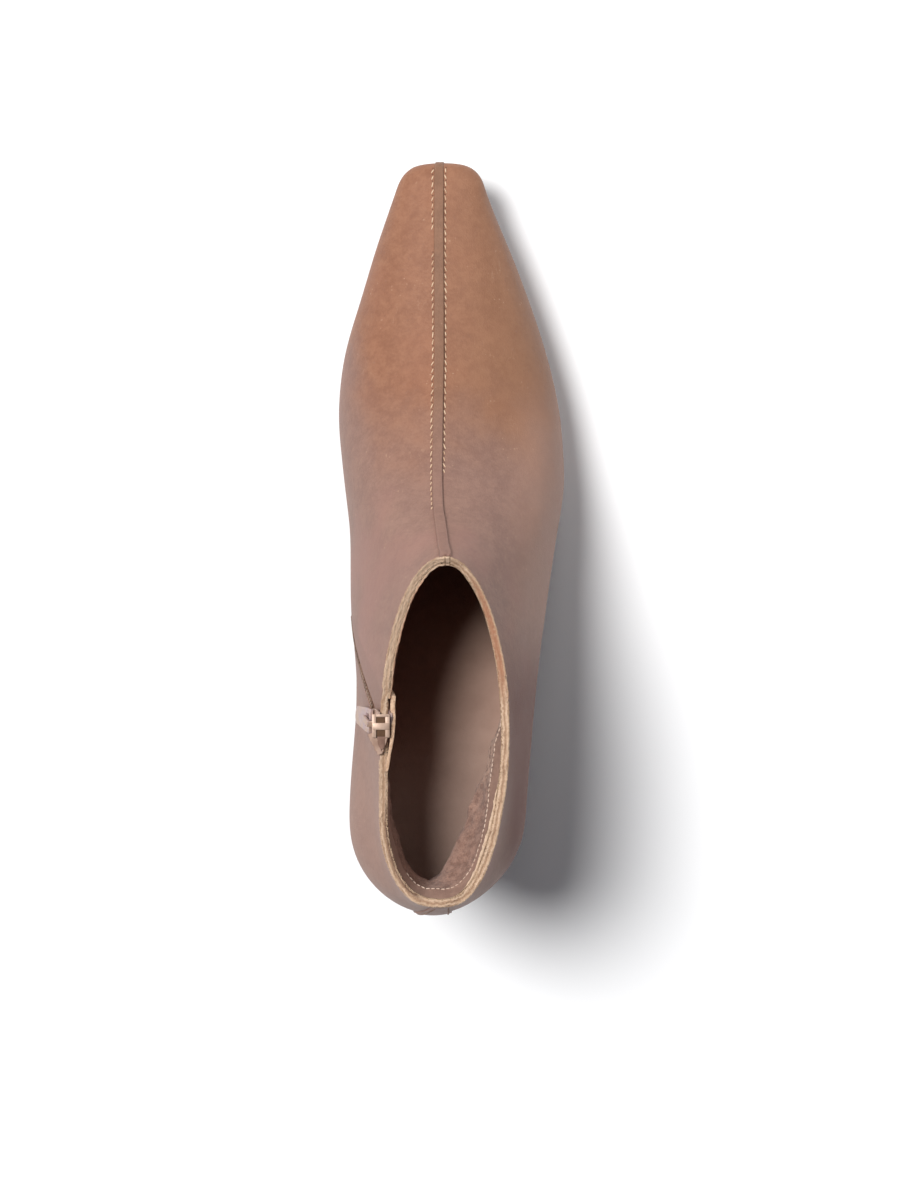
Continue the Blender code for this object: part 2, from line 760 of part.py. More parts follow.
def make_slider(metal):
    """Two plates joined by a post, with a crown that holds the pull."""
    top, foot = -SLIDER_HEIGHT / 2, SLIDER_HEIGHT / 2
    face = SLIDER_CLEARANCE
    back = -WALL - SLIDER_CLEARANCE
    overlap = SLIDER_PLATE / 2
    plate = shield(SLIDER_TOP_WIDTH, SLIDER_FOOT_WIDTH, top, foot, 1.2)
    post = [
        (-POST_WIDTH / 2, top + 0.4),
        (POST_WIDTH / 2, top + 0.4),
        (POST_WIDTH / 4, top + POST_HEIGHT),
        (-POST_WIDTH / 4, top + POST_HEIGHT),
    ]
    crown_outer = face + SLIDER_PLATE + CROWN_OPENING + CROWN_BAR
    half_crown = CROWN_LENGTH / 2
    half_hole = half_crown - CROWN_BAR
    crown = rectangle(CROWN_WIDTH, -half_crown, half_crown)
    hole = rectangle(CROWN_WIDTH * 2, -half_hole, half_hole)
    slider = new_object("zip_slider", prism(plate, face, face + SLIDER_PLATE), metal)
    arch = helper("slider_crown", prism(crown, face + overlap, crown_outer), metal)
    combine(
        arch,
        helper("slider_crown_hole", prism(hole, face, face + SLIDER_PLATE + CROWN_OPENING), metal),
        "DIFFERENCE",
    )
    parts = [
        arch,
        helper("slider_post", prism(post, back - overlap, face + overlap), metal),
        helper("slider_back_plate", prism(plate, back - SLIDER_PLATE, back), metal),
    ]
    matrix = frame_matrix(*slider_frame())
    for part in parts:
        combine(slider, part, "UNION")
    for obj in [slider, *parts, bpy.data.objects["slider_crown_hole"]]:
        obj.matrix_world = matrix
    return slider


def make_pull(metal):
    """Tab with a window at its top, whose bar turns in the slider's crown. Its origin is on that axis."""
    origin, across, down, out = slider_frame()
    pivot = origin + out * (SLIDER_CLEARANCE + SLIDER_PLATE + CROWN_OPENING / 2)
    across, down = turned(across, down, PULL_SWAY)
    lean = math.radians(PULL_LEAN)
    hang = down * math.cos(lean) - out * math.sin(lean)
    face = out * math.cos(lean) + down * math.sin(lean)
    top, foot = -PULL_BAR, PULL_LENGTH - PULL_BAR
    radius = PULL_FOOT_WIDTH / 2
    end = [
        (radius * math.cos(a), foot - radius + radius * math.sin(a))
        for a in (math.pi * k / 8 for k in range(9))
    ]
    half = PULL_TOP_WIDTH / 2
    outline = [(-half, top), (half, top), (half, PULL_WINDOW_LENGTH), *end, (-half, PULL_WINDOW_LENGTH)]
    window = rectangle(PULL_WINDOW_WIDTH, PULL_BAR, PULL_BAR + PULL_WINDOW_LENGTH)
    pull = new_object("zip_pull", prism(outline, -PULL_THICKNESS / 2, PULL_THICKNESS / 2), metal)
    cutter = helper("pull_window", prism(window, -PULL_THICKNESS, PULL_THICKNESS), metal)
    combine(pull, cutter, "DIFFERENCE")
    for obj in (pull, cutter):
        obj.matrix_world = frame_matrix(pivot, across, hang, face)
    return pull


def main():
    for obj in list(bpy.data.objects):
        bpy.data.objects.remove(obj)
    leather = principled("tan_leather", (0.36, 0.19, 0.12), 0.5)
    edge_leather = principled("cut_leather", (0.55, 0.36, 0.2), 0.7)
    sock = principled("sock_leather", (0.09, 0.05, 0.04), 0.6)
    rubber = principled("sole_rubber", (0.05, 0.03, 0.02), 0.6)
    stacked = principled("stacked_leather", (0.16, 0.08, 0.045), 0.45)
    tape = principled("zip_tape", (0.2, 0.11, 0.08), 0.8)
    metal = principled("zip_metal", (0.72, 0.6, 0.55), 0.28, 1.0)
    make_upper(leather)
    make_outsole(rubber)
    make_insole(sock)
    make_heel_block(stacked)
    make_top_lift(rubber)
    make_piping(leather)
    make_back_strip(leather)
    make_zip(metal, tape, edge_leather)
    make_slider(metal)
    make_pull(metal)


main()
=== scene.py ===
import math

import bpy
import numpy as np
from mathutils import Matrix, Vector, noise
from mathutils.bvhtree import BVHTree


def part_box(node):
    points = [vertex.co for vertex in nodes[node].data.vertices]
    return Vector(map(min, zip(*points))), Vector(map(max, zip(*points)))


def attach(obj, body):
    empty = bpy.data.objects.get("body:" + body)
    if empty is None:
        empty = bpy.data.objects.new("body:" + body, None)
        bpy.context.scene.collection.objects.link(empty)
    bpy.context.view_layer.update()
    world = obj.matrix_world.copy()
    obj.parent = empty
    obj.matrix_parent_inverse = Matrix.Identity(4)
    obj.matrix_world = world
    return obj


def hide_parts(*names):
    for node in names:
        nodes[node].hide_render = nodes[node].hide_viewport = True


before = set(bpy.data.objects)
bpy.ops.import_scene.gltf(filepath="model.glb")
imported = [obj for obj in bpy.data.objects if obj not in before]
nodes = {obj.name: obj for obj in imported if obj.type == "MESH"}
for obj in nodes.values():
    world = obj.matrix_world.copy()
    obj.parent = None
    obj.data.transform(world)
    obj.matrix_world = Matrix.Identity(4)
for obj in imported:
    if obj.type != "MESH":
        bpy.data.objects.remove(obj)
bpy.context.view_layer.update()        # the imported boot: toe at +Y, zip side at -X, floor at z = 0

mm = 0.001
up = Vector((0, 0, 1))
farOff = 0.3             # rays at the boot start this far away, in metres
noise.seed_set(7)        # the same raggedness on every run


# a socket takes a link or a plain value
def feed(socket, value):
    if isinstance(value, Wire):
        value.tree.links.new(value.socket, socket)
    else:
        socket.default_value = value


# Shader maths: a wrapped socket, so that plain expressions add Math nodes
class Wire:
    def __init__(self, tree, socket):
        self.tree = tree
        self.socket = socket

    def node(self, kind, settings=None, inputs=None, output=0):
        made = self.tree.nodes.new(kind)
        for key, value in (settings or {}).items():
            if key == "stops":
                ramp = made.color_ramp
                while len(ramp.elements) < len(value):
                    ramp.elements.new(0.5)
                for element, (place, colour) in zip(ramp.elements, value):
                    element.position = place
                    element.color = colour
            else:
                setattr(made, key, value)
        for key, value in (inputs or {}).items():
            feed(made.inputs[key], value)
        return Wire(self.tree, made.outputs[output])

    def maths(self, operation, *values):
        return self.node("ShaderNodeMath", {"operation": operation}, dict(enumerate(values)))

    def __add__(self, other):
        return self.maths("ADD", self, other)

    def __sub__(self, other):
        return self.maths("SUBTRACT", self, other)

    def __rsub__(self, other):
        return self.maths("SUBTRACT", other, self)

    def __mul__(self, other):
        return self.maths("MULTIPLY", self, other)

    def __truediv__(self, other):
        return self.maths("DIVIDE", self, other)

    def __rtruediv__(self, other):
        return self.maths("DIVIDE", other, self)

    def __abs__(self):
        return self.maths("ABSOLUTE", self)

    __radd__ = __add__
    __rmul__ = __mul__

    def axis(self, name):
        return self.node("ShaderNodeSeparateXYZ", None, {0: self}, "XYZ".index(name))

    # 0 at low, 1 at high and smooth between, either way round
    def rise(self, low, high):
        if low > high:
            return 1 - self.rise(high, low)
        settings = {"interpolation_type": "SMOOTHSTEP"}
        return self.node("ShaderNodeMapRange", settings, {0: self, 1: low, 2: high})

    # 1 inside a part of the boot; a limit is an axis, where the part starts and where it is full
    def within(self, limits):
        return math.prod(self.axis(name).rise(low, high) for name, low, high in limits)

    def noise(self, scale, detail=3, rough=0.55, twist=0):
        values = {"Vector": self, "Scale": scale, "Detail": detail, "Roughness": rough, "Distortion": twist}
        return self.node("ShaderNodeTexNoise", None, values)

    def cells(self, scale, feature="F1"):
        return self.node("ShaderNodeTexVoronoi", {"feature": feature}, {"Vector": self, "Scale": scale})

    def stretch(self, x, y, z):
        return self.node("ShaderNodeVectorMath", {"operation": "MULTIPLY"}, {0: self, 1: (x, y, z)})

    # the wrapped value picks between two colours
    def blend(self, first, second):
        return self.node("ShaderNodeMix", {"data_type": "RGBA"}, {0: self, 6: first, 7: second}, 2)

    def bump(self, distance, strength=1, under=None):
        values = {"Height": self, "Distance": distance, "Strength": strength}
        if under:
            values["Normal"] = under
        return self.node("ShaderNodeBump", None, values)


def tint(red, green, blue):
    # a colour as picked on a screen, turned linear
    parts = [c / 255 for c in (red, green, blue)]
    return (*[c / 12.92 if c <= 0.04045 else ((c + 0.055) / 1.055) ** 2.4 for c in parts], 1)


def newFinish(name):
    finish = bpy.data.materials.new(name)
    finish.use_nodes = True
    tree = finish.node_tree
    place = Wire(tree, tree.nodes.new("ShaderNodeTexCoord").outputs["Object"])
    return finish, place


socketNames = {"colour": "Base Color", "rough": "Roughness", "normal": "Normal", "metal": "Metallic",
               "gloss": "Specular IOR Level", "sheen": "Sheen Weight", "sheenRough": "Sheen Roughness"}


def wireUp(finish, **inputs):
    shader = finish.node_tree.nodes["Principled BSDF"]
    for key, value in inputs.items():
        feed(shader.inputs[socketNames[key]], value)
    return finish


# Finishes: parts of the boot are given by limits along its axes, in metres
leatherLook = {
    "front": tint(152, 107, 82), "frontDeep": tint(136, 92, 70), "ruddy": tint(148, 96, 72),
    "olive": tint(156, 117, 88), "rear": tint(148, 115, 101), "rearDeep": tint(134, 102, 90),
    "mauve": tint(154, 112, 101), "worn": tint(192, 156, 130), "outerDeep": tint(104, 53, 36),
    "outerPale": tint(178, 136, 115), "innerPale": tint(184, 154, 140), "rough": 0.54,
    "flecks": 0.55, "scratches": 0.18, "pits": 0.3,
    # the rear turns grey between these; at the inner edge the grey reaches further forward, a painted sheen
    # along that edge
    "turnsGrey": (0.008, 0.06), "edgeSheenLead": 0.035, "innerEdge": [("X", -0.024, -0.038)],
    "oliveSide": [("X", -0.015, 0.03)],
    # tones laid over parts of the boot: the tone, how much of it, and where
    # the first wash is painted shade on the outer side behind the ankle
    "washes": [("outerDeep", 0.8, [("X", 0.015, 0.022), ("Y", -0.03, -0.06)]),
               # the second wash is painted light on the outer side of the instep
               ("outerPale", 0.5, [("X", 0.016, 0.031), ("Y", -0.055, -0.02), ("Y", 0.06, 0.03)]),
               ("innerPale", 0.17, [("X", -0.012, -0.024), ("Y", -0.06, -0.09)])],
}
stripLook = dict(leatherLook, front=tint(138, 101, 78), frontDeep=tint(122, 88, 67),
                 ruddy=tint(132, 92, 70), olive=tint(140, 107, 82))
# the band keeps its own rear tone in place of the painted shade
bandLook = dict(leatherLook, rear=tint(172, 138, 122), rearDeep=tint(154, 122, 108),
                mauve=tint(174, 134, 120), outerDeep=tint(172, 138, 122))


def makeLeather(name, look, dark=0):
    finish, place = newFinish(name)
    cloud = place.noise(30)
    patch = place.noise(120, 5, 0.65, 0.3)
    blotch = place.noise(330, 4, 0.65)
    fine = place.noise(950, 4, 0.7)
    # painted sheen: the grey starts further forward along the inner edge
    sheenShift = place.within(look["innerEdge"]) * look["edgeSheenLead"]
    front = (place.axis("Y") + (cloud - 0.5) * 0.06 - sheenShift).rise(*look["turnsGrey"])
    tone = (patch * 0.4 + blotch * 0.32 + fine * 0.28).rise(0.38, 0.62)
    warm = tone.blend(look["frontDeep"], look["front"])
    warm = (cloud.rise(0.5, 0.68) * 0.25).blend(warm, look["ruddy"])
    warm = (place.within(look["oliveSide"]) * 0.4).blend(warm, look["olive"])
    cool = tone.blend(look["rearDeep"], look["rear"])
    cool = (place.noise(24, 2).rise(0.48, 0.66) * 0.5).blend(cool, look["mauve"])
    colour = front.blend(cool, warm)
    # light flecks in loose groups, and a few hairline scratches
    group = place.noise(85).rise(0.5, 0.66)
    fleck = place.cells(560).rise(0.24, 0.1) * group * blotch.rise(0.45, 0.6)
    hair = abs(place.stretch(1, 0.3, 1).noise(210, 2, 0.5, 0.9) - 0.5)
    scratch = hair.rise(0.008, 0.001) * place.noise(70, 2).rise(0.58, 0.66)
    colour = (fleck * look["flecks"] + scratch * look["scratches"]).blend(colour, look["worn"])
    pits = place.noise(420, 5, 0.75).rise(0.58, 0.74)
    # darker pits, and the darker tone a caller asks for: the strip's own darker leather, and painted shade
    # on the zip slot's faces
    colour = (pits * look["pits"] + dark).blend(colour, look["rearDeep"])
    # tones over parts of the boot, among them painted shade and painted light on the outer side
    for wash, share, part in look["washes"]:
        colour = (place.within(part) * share).blend(colour, look[wash])
    pebble = place.cells(1100, "DISTANCE_TO_EDGE").rise(0, 0.25)
    grain = (pebble * 0.35 + fine).bump(0.00014, 0.6)
    wave = place.noise(90).bump(0.0004, 0.2, grain)
    return wireUp(finish, colour=colour, rough=patch * 0.16 + (look["rough"] - 0.08), normal=wave,
                  gloss=0.24, sheen=0.04, sheenRough=0.42)


rawEdgeLook = {
    "skin": tint(152, 120, 102), "core": tint(185, 152, 125), "pale": tint(216, 188, 162),
    "groove": tint(154, 122, 98), "line": tint(134, 102, 80), "ruddy": tint(164, 114, 87),
    "deep": tint(104, 76, 61),
    # 0 to 0.5 lies on the upper's edge, and the rest on the lining's edge
    "layers": [(0, "skin"), (0.05, "pale"), (0.18, "core"), (0.25, "groove"), (0.31, "core"),
               (0.42, "pale"), (0.5, "line"), (0.6, "core"), (0.85, "pale"), (1, "line")],
    "outerRim": [("X", 0.004, 0.012), ("Y", -0.062, -0.045)],
    "aheadOfZip": [("X", -0.006, -0.012), ("Y", -0.066, -0.06)],
    "behindZip": [("X", -0.008, -0.013), ("Y", -0.085, -0.1)],
    "throatLeft": [("X", 0.001, -0.004), ("Y", -0.058, -0.046)],
    "throat": [("Y", -0.05, -0.04)], "seamX": -1.4, "seamHalf": 0.8,
}


def makeRawEdge(name, look):
    finish, place = newFinish(name)
    depth = place.node("ShaderNodeAttribute", {"attribute_name": "wallDepth"}, None, 2)
    fuzz = place.noise(1100, 4, 0.75)
    drift = place.noise(170, 3, 0.6) - 0.5
    layer = depth * 0.5 + (fuzz - 0.5) * 0.3 + drift * 0.35
    stops = [(at, look[tone]) for at, tone in look["layers"]]
    colour = layer.node("ShaderNodeValToRGB", {"stops": stops}, {0: layer})
    colour = (place.noise(300, 4, 0.7).rise(0.5, 0.7) * 0.55).blend(colour, look["line"])
    colour = (place.noise(2300, 3, 0.7).rise(0.56, 0.7) * 0.7).blend(colour, look["pale"])
    colour = (place.noise(1900, 3, 0.7).rise(0.58, 0.72) * 0.6).blend(colour, look["line"])
    for wash, part, share in (("ruddy", "outerRim", fuzz.rise(0.25, 0.5) * 0.85),
                              ("ruddy", "aheadOfZip", depth.rise(1.3, 1.7) * 0.75),
                              ("deep", "behindZip", depth.rise(0.4, 0.8) * 0.9),
                              ("pale", "throatLeft", depth.rise(1.5, 1.2) * 0.4)):
        colour = (place.within(look[part]) * share).blend(colour, look[wash])
    # the cut ends of the front seam, across the edge at the throat
    side = abs(place.axis("X") - look["seamX"] * mm) - look["seamHalf"] * mm
    throat = place.within(look["throat"])
    colour = (side.rise(0.0008, 0) * throat * 0.7).blend(colour, look["pale"])
    colour = (abs(side).rise(0.0003, 0.0001) * throat * 0.8).blend(colour, look["line"])
    ridge = (depth.maths("SINE", depth * 11) * 0.15 + fuzz).bump(0.0005, 0.7)
    return wireUp(finish, colour=colour, rough=0.86, normal=ridge, gloss=0.2)


suedeLook = {
    "pale": tint(210, 174, 152), "light": tint(180, 143, 126), "dark": tint(122, 91, 78),
    "wall": tint(196, 154, 135), "deep": tint(158, 121, 106),
    "paleFront": [("Y", -0.091, -0.079)], "shaded": [("Y", -0.09, -0.108)],
    "outerFrontShade": [("X", 0, 0.01), ("Y", -0.085, -0.045)],
}
guardLook = {"light": tint(226, 193, 164), "dark": tint(186, 148, 119)}


def makeSuede(name, look):
    finish, place = newFinish(name)
    nap = place.stretch(1, 1, 0.6).noise(440, 5, 0.75, 0.1)
    fibre = place.noise(1500, 3, 0.75)
    colour = (nap.rise(0.36, 0.64) * 0.7 + fibre.rise(0.35, 0.65) * 0.3).blend(look["dark"], look["light"])
    if "paleFront" in look:      # pale at its front end, darker at the back
        paleFront = place.within(look["paleFront"]) * nap.rise(0.38, 0.58)
        colour = (paleFront * 0.6).blend(colour, look["pale"])
        colour = (place.within(look["shaded"]) * 0.25).blend(colour, look["dark"])
    rough = (nap + fibre * 0.6).bump(0.0008, 0.7)
    return wireUp(finish, colour=colour, rough=0.92, normal=rough, gloss=0.15, sheen=0.1, sheenRough=0.5)


def makeInnerLining(name, look):
    finish, place = newFinish(name)
    nap = place.noise(150, 5, 0.7)
    fibre = place.noise(1300, 3, 0.7)
    colour = (nap.rise(0.3, 0.7) * 0.7 + fibre * 0.3).blend(look["deep"], look["wall"])
    # painted shade: the inner lining darker at its front on the outer side
    colour = (place.within(look["outerFrontShade"]) * 0.5).blend(colour, look["dark"])
    return wireUp(finish, colour=colour, rough=0.85, normal=(nap + fibre).bump(0.0003, 0.4), gloss=0.2)


sockLook = {"colour": tint(179, 148, 132), "deep": tint(159, 129, 114), "rough": 0.55}


def makeSock(name, look):
    finish, place = newFinish(name)
    cloud = place.noise(45, 4, 0.6)
    fine = place.noise(900, 4, 0.65)
    colour = (cloud.rise(0.3, 0.7) * 0.75 + fine * 0.25).blend(look["deep"], look["colour"])
    pores = place.cells(1100).rise(0, 0.5)
    return wireUp(finish, colour=colour, rough=fine * 0.2 + (look["rough"] - 0.1),
                  normal=(pores * 0.5 + fine).bump(0.00012, 0.5), gloss=0.35)


# a light and a dark tone for each
threadLook = {
    "frayedFibre": (tint(222, 194, 164), tint(184, 148, 116)),
    "creamThread": (tint(226, 198, 168), tint(184, 144, 116)),
    "brownThread": (tint(150, 120, 104), tint(122, 94, 80)),
    "needleHoleShade": (tint(122, 86, 68), tint(98, 68, 54)),
    "paleThread": (tint(222, 200, 182), tint(180, 152, 132)),
}


def makeThread(name, light, dark):
    finish, place = newFinish(name)
    ply = place.noise(2600, 2, 0.6)
    worn = place.noise(170).rise(0.36, 0.56)
    colour = (ply.rise(0.3, 0.7) * 0.5 + worn * 0.5).blend(dark, light)
    return wireUp(finish, colour=colour, rough=0.7, normal=ply.bump(0.0001, 0.5), gloss=0.3)


metalLook = {"bright": tint(174, 150, 149), "dull": tint(184, 155, 134), "rough": 0.44, "metal": 0.38}
frameLook = {"bright": tint(202, 173, 154), "dull": tint(180, 151, 132), "rough": 0.5, "metal": 0.3}
chainLook = {"bright": tint(164, 134, 114), "dull": tint(118, 92, 76), "rough": 0.42, "metal": 0.4}


def makeMetal(name, look):
    finish, place = newFinish(name)
    cloud = place.noise(260, 3, 0.6)
    scratch = place.stretch(1, 0.15, 0.15).noise(2400, 3, 0.6)
    colour = cloud.rise(0.35, 0.65).blend(look["dull"], look["bright"])
    return wireUp(finish, colour=colour, metal=look["metal"], rough=scratch * 0.2 + (look["rough"] - 0.1),
                  normal=scratch.bump(0.00004, 0.4))


tapeLook = {
    "beigeTape": (tint(184, 155, 138), tint(142, 112, 96)),
    "brownTape": (tint(150, 118, 103), tint(110, 83, 71)),
    # a darker tape tone for the slider's mouths: painted shade inside the slider
    "mouthShadeTape": (tint(124, 94, 72), tint(84, 60, 44)),
}


def makeTape(name, light, dark):
    finish, place = newFinish(name)
    weave = {"Vector": place, "Scale": 420}
    weft = place.node("ShaderNodeTexWave", {"bands_direction": "Z"}, weave, "Fac")
    fuzz = place.noise(1200)
    colour = (weft * 0.5 + fuzz * 0.5).blend(dark, light)
    return wireUp(finish, colour=colour, rough=0.88, normal=(weft + fuzz).bump(0.0002, 0.5), gloss=0.2)


soleLook = {"rubber": tint(70, 50, 40), "worn": tint(98, 74, 60), "rough": 0.62}


def makeSole(name, look):
    finish, place = newFinish(name)
    cloud = place.noise(80, 4, 0.6)
    fine = place.noise(1100, 3, 0.6)
    colour = (cloud.rise(0.45, 0.75) * 0.5).blend(look["rubber"], look["worn"])
    return wireUp(finish, colour=colour, rough=cloud * 0.2 + (look["rough"] - 0.1),
                  normal=fine.bump(0.0001, 0.5), gloss=0.35)


heelLook = {"light": tint(126, 84, 58), "dark": tint(84, 54, 37), "rough": 0.38, "layer": 4.6}


def makeHeel(name, look):
    finish, place = newFinish(name)
    height = place.axis("Z") / (look["layer"] * mm)
    layer = height.maths("FLOOR", height)
    shade = layer.node("ShaderNodeTexWhiteNoise", {"noise_dimensions": "1D"}, {"W": layer})
    fibre = place.stretch(1, 1, 9).noise(150, 5, 0.7)
    colour = (shade * 0.5 + fibre * 0.5).blend(look["dark"], look["light"])
    return wireUp(finish, colour=colour, rough=fibre * 0.2 + (look["rough"] - 0.1),
                  normal=fibre.bump(0.0002, 0.35), gloss=0.45)


leather = makeLeather("upperLeather", leatherLook)
stripLeather = makeLeather("stripLeather", stripLook, 0.15)
# the zip slot's cut faces, half dark: painted shade inside the slot
slotEdgeInShade = makeLeather("slotEdgeLeather", leatherLook, 0.5)
bandLeather = makeLeather("bandLeather", bandLook)
rawEdge = makeRawEdge("rawCutEdge", rawEdgeLook)
suede = makeSuede("napLining", suedeLook)
guardLeather = makeSuede("guardLeather", guardLook)
innerLining = makeInnerLining("innerLining", suedeLook)
sockLeather = makeSock("sockLeather", sockLook)
threads = {name: makeThread(name, *tones) for name, tones in threadLook.items()}
zipMetal = makeMetal("zipMetal", metalLook)
frameMetal = makeMetal("frameMetal", frameLook)
chainMetal = makeMetal("chainMetal", chainLook)
tapes = {name: makeTape(name, *tones) for name, tones in tapeLook.items()}
soleRubber = makeSole("soleRubber", soleLook)
heelLeather = makeHeel("stackedHeel", heelLook)
print("finishes ready")


# Small modelling helpers
def only(piece):
    if bpy.context.mode != "OBJECT":
        bpy.ops.object.mode_set(mode="OBJECT")
    bpy.ops.object.select_all(action="DESELECT")
    piece.select_set(True)
    bpy.context.view_layer.objects.active = piece


# with no action, what code has selected stays selected
def openEdit(piece, kind="VERT", action="SELECT"):
    only(piece)
    bpy.ops.object.mode_set(mode="EDIT")
    bpy.ops.mesh.select_mode(type=kind)
    if action:
        bpy.ops.mesh.select_all(action=action)


def closeEdit():
    bpy.ops.object.mode_set(mode="OBJECT")


def named(piece, name):
    piece.name = name
    piece.data.name = name
    return piece


# a new primitive, alone in the selection
def added(name, addShape, **settings):
    bpy.ops.object.select_all(action="DESELECT")
    addShape(**settings)
    return named(bpy.context.active_object, name)


def newGrid(name, columns, rows):
    return added(name, bpy.ops.mesh.primitive_grid_add, x_subdivisions=columns, y_subdivisions=rows, size=1)


def joined(pieces, name):
    only(pieces[0])
    for piece in pieces:
        piece.select_set(True)
    if len(pieces) > 1:
        bpy.ops.object.join()
    return named(pieces[0], name)


# a CAD node's loose triangles as a merged mesh of its own
def mergedCopy(nodeName, name):
    piece = named(bpy.data.objects.new(name, nodes[nodeName].data.copy()), name)
    bpy.context.scene.collection.objects.link(piece)
    openEdit(piece)
    bpy.ops.mesh.remove_doubles(threshold=0.000005)
    bpy.ops.mesh.customdata_custom_splitnormals_clear()
    bpy.ops.mesh.mark_sharp(clear=True)
    bpy.ops.mesh.tris_convert_to_quads(face_threshold=math.radians(40), shape_threshold=math.radians(60))
    closeEdit()
    piece.data.materials.clear()
    return piece


def keepSharp(piece, angle, weight):
    openEdit(piece, "EDGE", "DESELECT")
    bpy.ops.mesh.edges_select_sharp(sharpness=math.radians(angle))
    bpy.ops.transform.edge_crease(value=weight)
    closeEdit()


def applied(piece, kind, **settings):
    only(piece)
    modifier = piece.modifiers.new(kind.lower(), kind)
    for key, value in settings.items():
        setattr(modifier, key, value)
    bpy.ops.object.modifier_apply(modifier=modifier.name)


def smoothed(piece, levels):
    applied(piece, "SUBSURF", levels=levels, render_levels=levels)


def softCopy(nodeName, name, angle, shape):
    piece = mergedCopy(nodeName, name)
    keepSharp(piece, angle, shape["sharp"])
    smoothed(piece, shape["levels"])
    return piece


def turnFaces(piece, inside=False):
    openEdit(piece)
    bpy.ops.mesh.normals_make_consistent(inside=inside)
    closeEdit()


def handOver(piece, finishes, slot, *replaced, body="boot", angle=45):
    only(piece)
    bpy.ops.object.shade_smooth_by_angle(angle=math.radians(angle))
    for finish in finishes:
        piece.data.materials.append(finish)
    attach(piece, body)
    if replaced:
        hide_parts(*replaced)


def treeOf(piece):
    return BVHTree.FromObject(piece, bpy.context.evaluated_depsgraph_get())


# where a ray meets a piece, and the direction of the surface there
def drop(tree, x, y):
    return tree.ray_cast(Vector((x, y, farOff)), -up)[:2]


def fromBehind(tree, x, z):
    return tree.ray_cast(Vector((x, -farOff, z)), Vector((0, 1, 0)))[:2]


def softStep(value, low, high):
    share = min(max((value - low) / (high - low), 0), 1)
    return share * share * (3 - 2 * share)


# direction of a spot from a centre in mm, seen from above, in degrees
def turnAbout(centre, spot):
    return math.degrees(math.atan2(spot.y - centre[1] * mm, spot.x - centre[0] * mm))


# Upper: the hollow shell with its lining side and raw rim
upperShape = {
    "levels": 2, "sharp": 0.86, "collarOver": 0.1, "rimUp": 0.45,
    # a face belongs to the lining side if a ray from it meets the boot again
    "rayFrom": 0.4, "rayReach": 0.25, "lookDown": 0.35, "wall": 0.5, "skinBelow": 0.02, "liningOver": 0.98,
    "ragged": 0.18, "fibre": 1400, "fineFibre": 2.3, "lumps": 0.22, "lump": 330,
    # how far the collar's back leans in, in mm, by direction about its middle in degrees
    "leanHeights": (102, 117), "leanBehind": -20,
    "backLean": [(-122, 0), (-113, -0.2), (-108, -0.5), (-104, -0.95), (-100, -0.85), (-96, -0.2),
                 (-93, 0.6), (-89.5, 1.1), (-85, 0.3), (-80, -0.4), (-72, -0.35), (-60, 0)],
    # soft creases: points (x, y) in mm seen from above, depth and half width in mm
    "creases": [
        {"line": [(31, 6), (26, -14), (21, -34), (19.5, -56)], "depth": -0.5, "width": 4},
        {"line": [(24, 22), (15, 27), (6, 30)], "depth": 0.35, "width": 5},
        {"line": [(-36, 34), (-28, 30), (-18, 29)], "depth": 0.4, "width": 5},
    ],
    "creaseOver": 20,
}
collarCentre = (-2.4, -62)      # in mm
skin, rim, lining, slot = range(4)      # the upper's finishes


# 0 on the outer skin, 1 on the lining side
def wallDepths(mesh):
    depths = np.zeros(len(mesh.vertices), np.float32)
    mesh.attributes["wallDepth"].data.foreach_get("value", depths)
    return depths


def markLining(piece, shape):
    tree = treeOf(piece)
    depth = piece.data.attributes.new("wallDepth", "FLOAT", "POINT")
    for face in piece.data.polygons:
        start = face.center + face.normal * (shape["rayFrom"] * mm)
        aim = face.normal.copy()
        if abs(aim.z) < shape["wall"]:
            aim.z -= shape["lookDown"]    # so that a wall can't see out over the far rim
        if tree.ray_cast(start, aim.normalized(), shape["rayReach"])[0]:
            for vertex in face.vertices:
                depth.data[vertex].value = 1.0


# cuts the raw edge finer and pulls its points about, like cut fibres
def roughenRim(piece, shape):
    mesh = piece.data
    for face in mesh.polygons:
        face.select = face.material_index == rim
    openEdit(piece, "FACE", None)
    bpy.ops.mesh.subdivide(number_cuts=2)
    closeEdit()
    onRim = {v for face in mesh.polygons if face.material_index == rim for v in face.vertices}
    for index in onRim:
        vertex = mesh.vertices[index]
        at = vertex.co * shape["fibre"]
        pull = noise.noise_vector(at) + noise.noise_vector(at * shape["fineFibre"])
        lump = noise.noise_vector(vertex.co * shape["lump"]) * shape["lumps"]
        vertex.co += (pull * shape["ragged"] + lump) * mm


def leanBack(mesh, shape):
    turns, leans = np.array(shape["backLean"]).T
    for vertex in mesh.vertices:
        share = softStep(vertex.co.z / mm, *shape["leanHeights"])
        away = Vector((vertex.co.x / mm - collarCentre[0], vertex.co.y / mm - collarCentre[1], 0))
        if share > 0 and away.y < shape["leanBehind"]:
            lean = float(np.interp(turnAbout(collarCentre, vertex.co), turns, leans))
            vertex.co -= away.normalized() * lean * share * mm


def pressCreases(mesh, shape):
    normals = [vertex.normal.copy() for vertex in mesh.vertices]
    depths = wallDepths(mesh)
    for crease in shape["creases"]:
        line = np.array(crease["line"]) * mm
        for vertex, normal in zip(mesh.vertices, normals):
            at = np.array(vertex.co[:2])
            nearest = 1.0
            for first, second in zip(line[:-1], line[1:]):
                step = second - first
                share = np.clip((at - first) @ step / (step @ step), 0, 1)
                nearest = min(nearest, float(np.linalg.norm(at - first - step * share)))
            fall = math.exp(-((nearest / (crease["width"] * mm)) ** 2))
            onSkin = depths[vertex.index] < shape["skinBelow"] and vertex.co.z > shape["creaseOver"] * mm
            if fall > 0.01 and onSkin:
                vertex.co -= normal * crease["depth"] * mm * fall


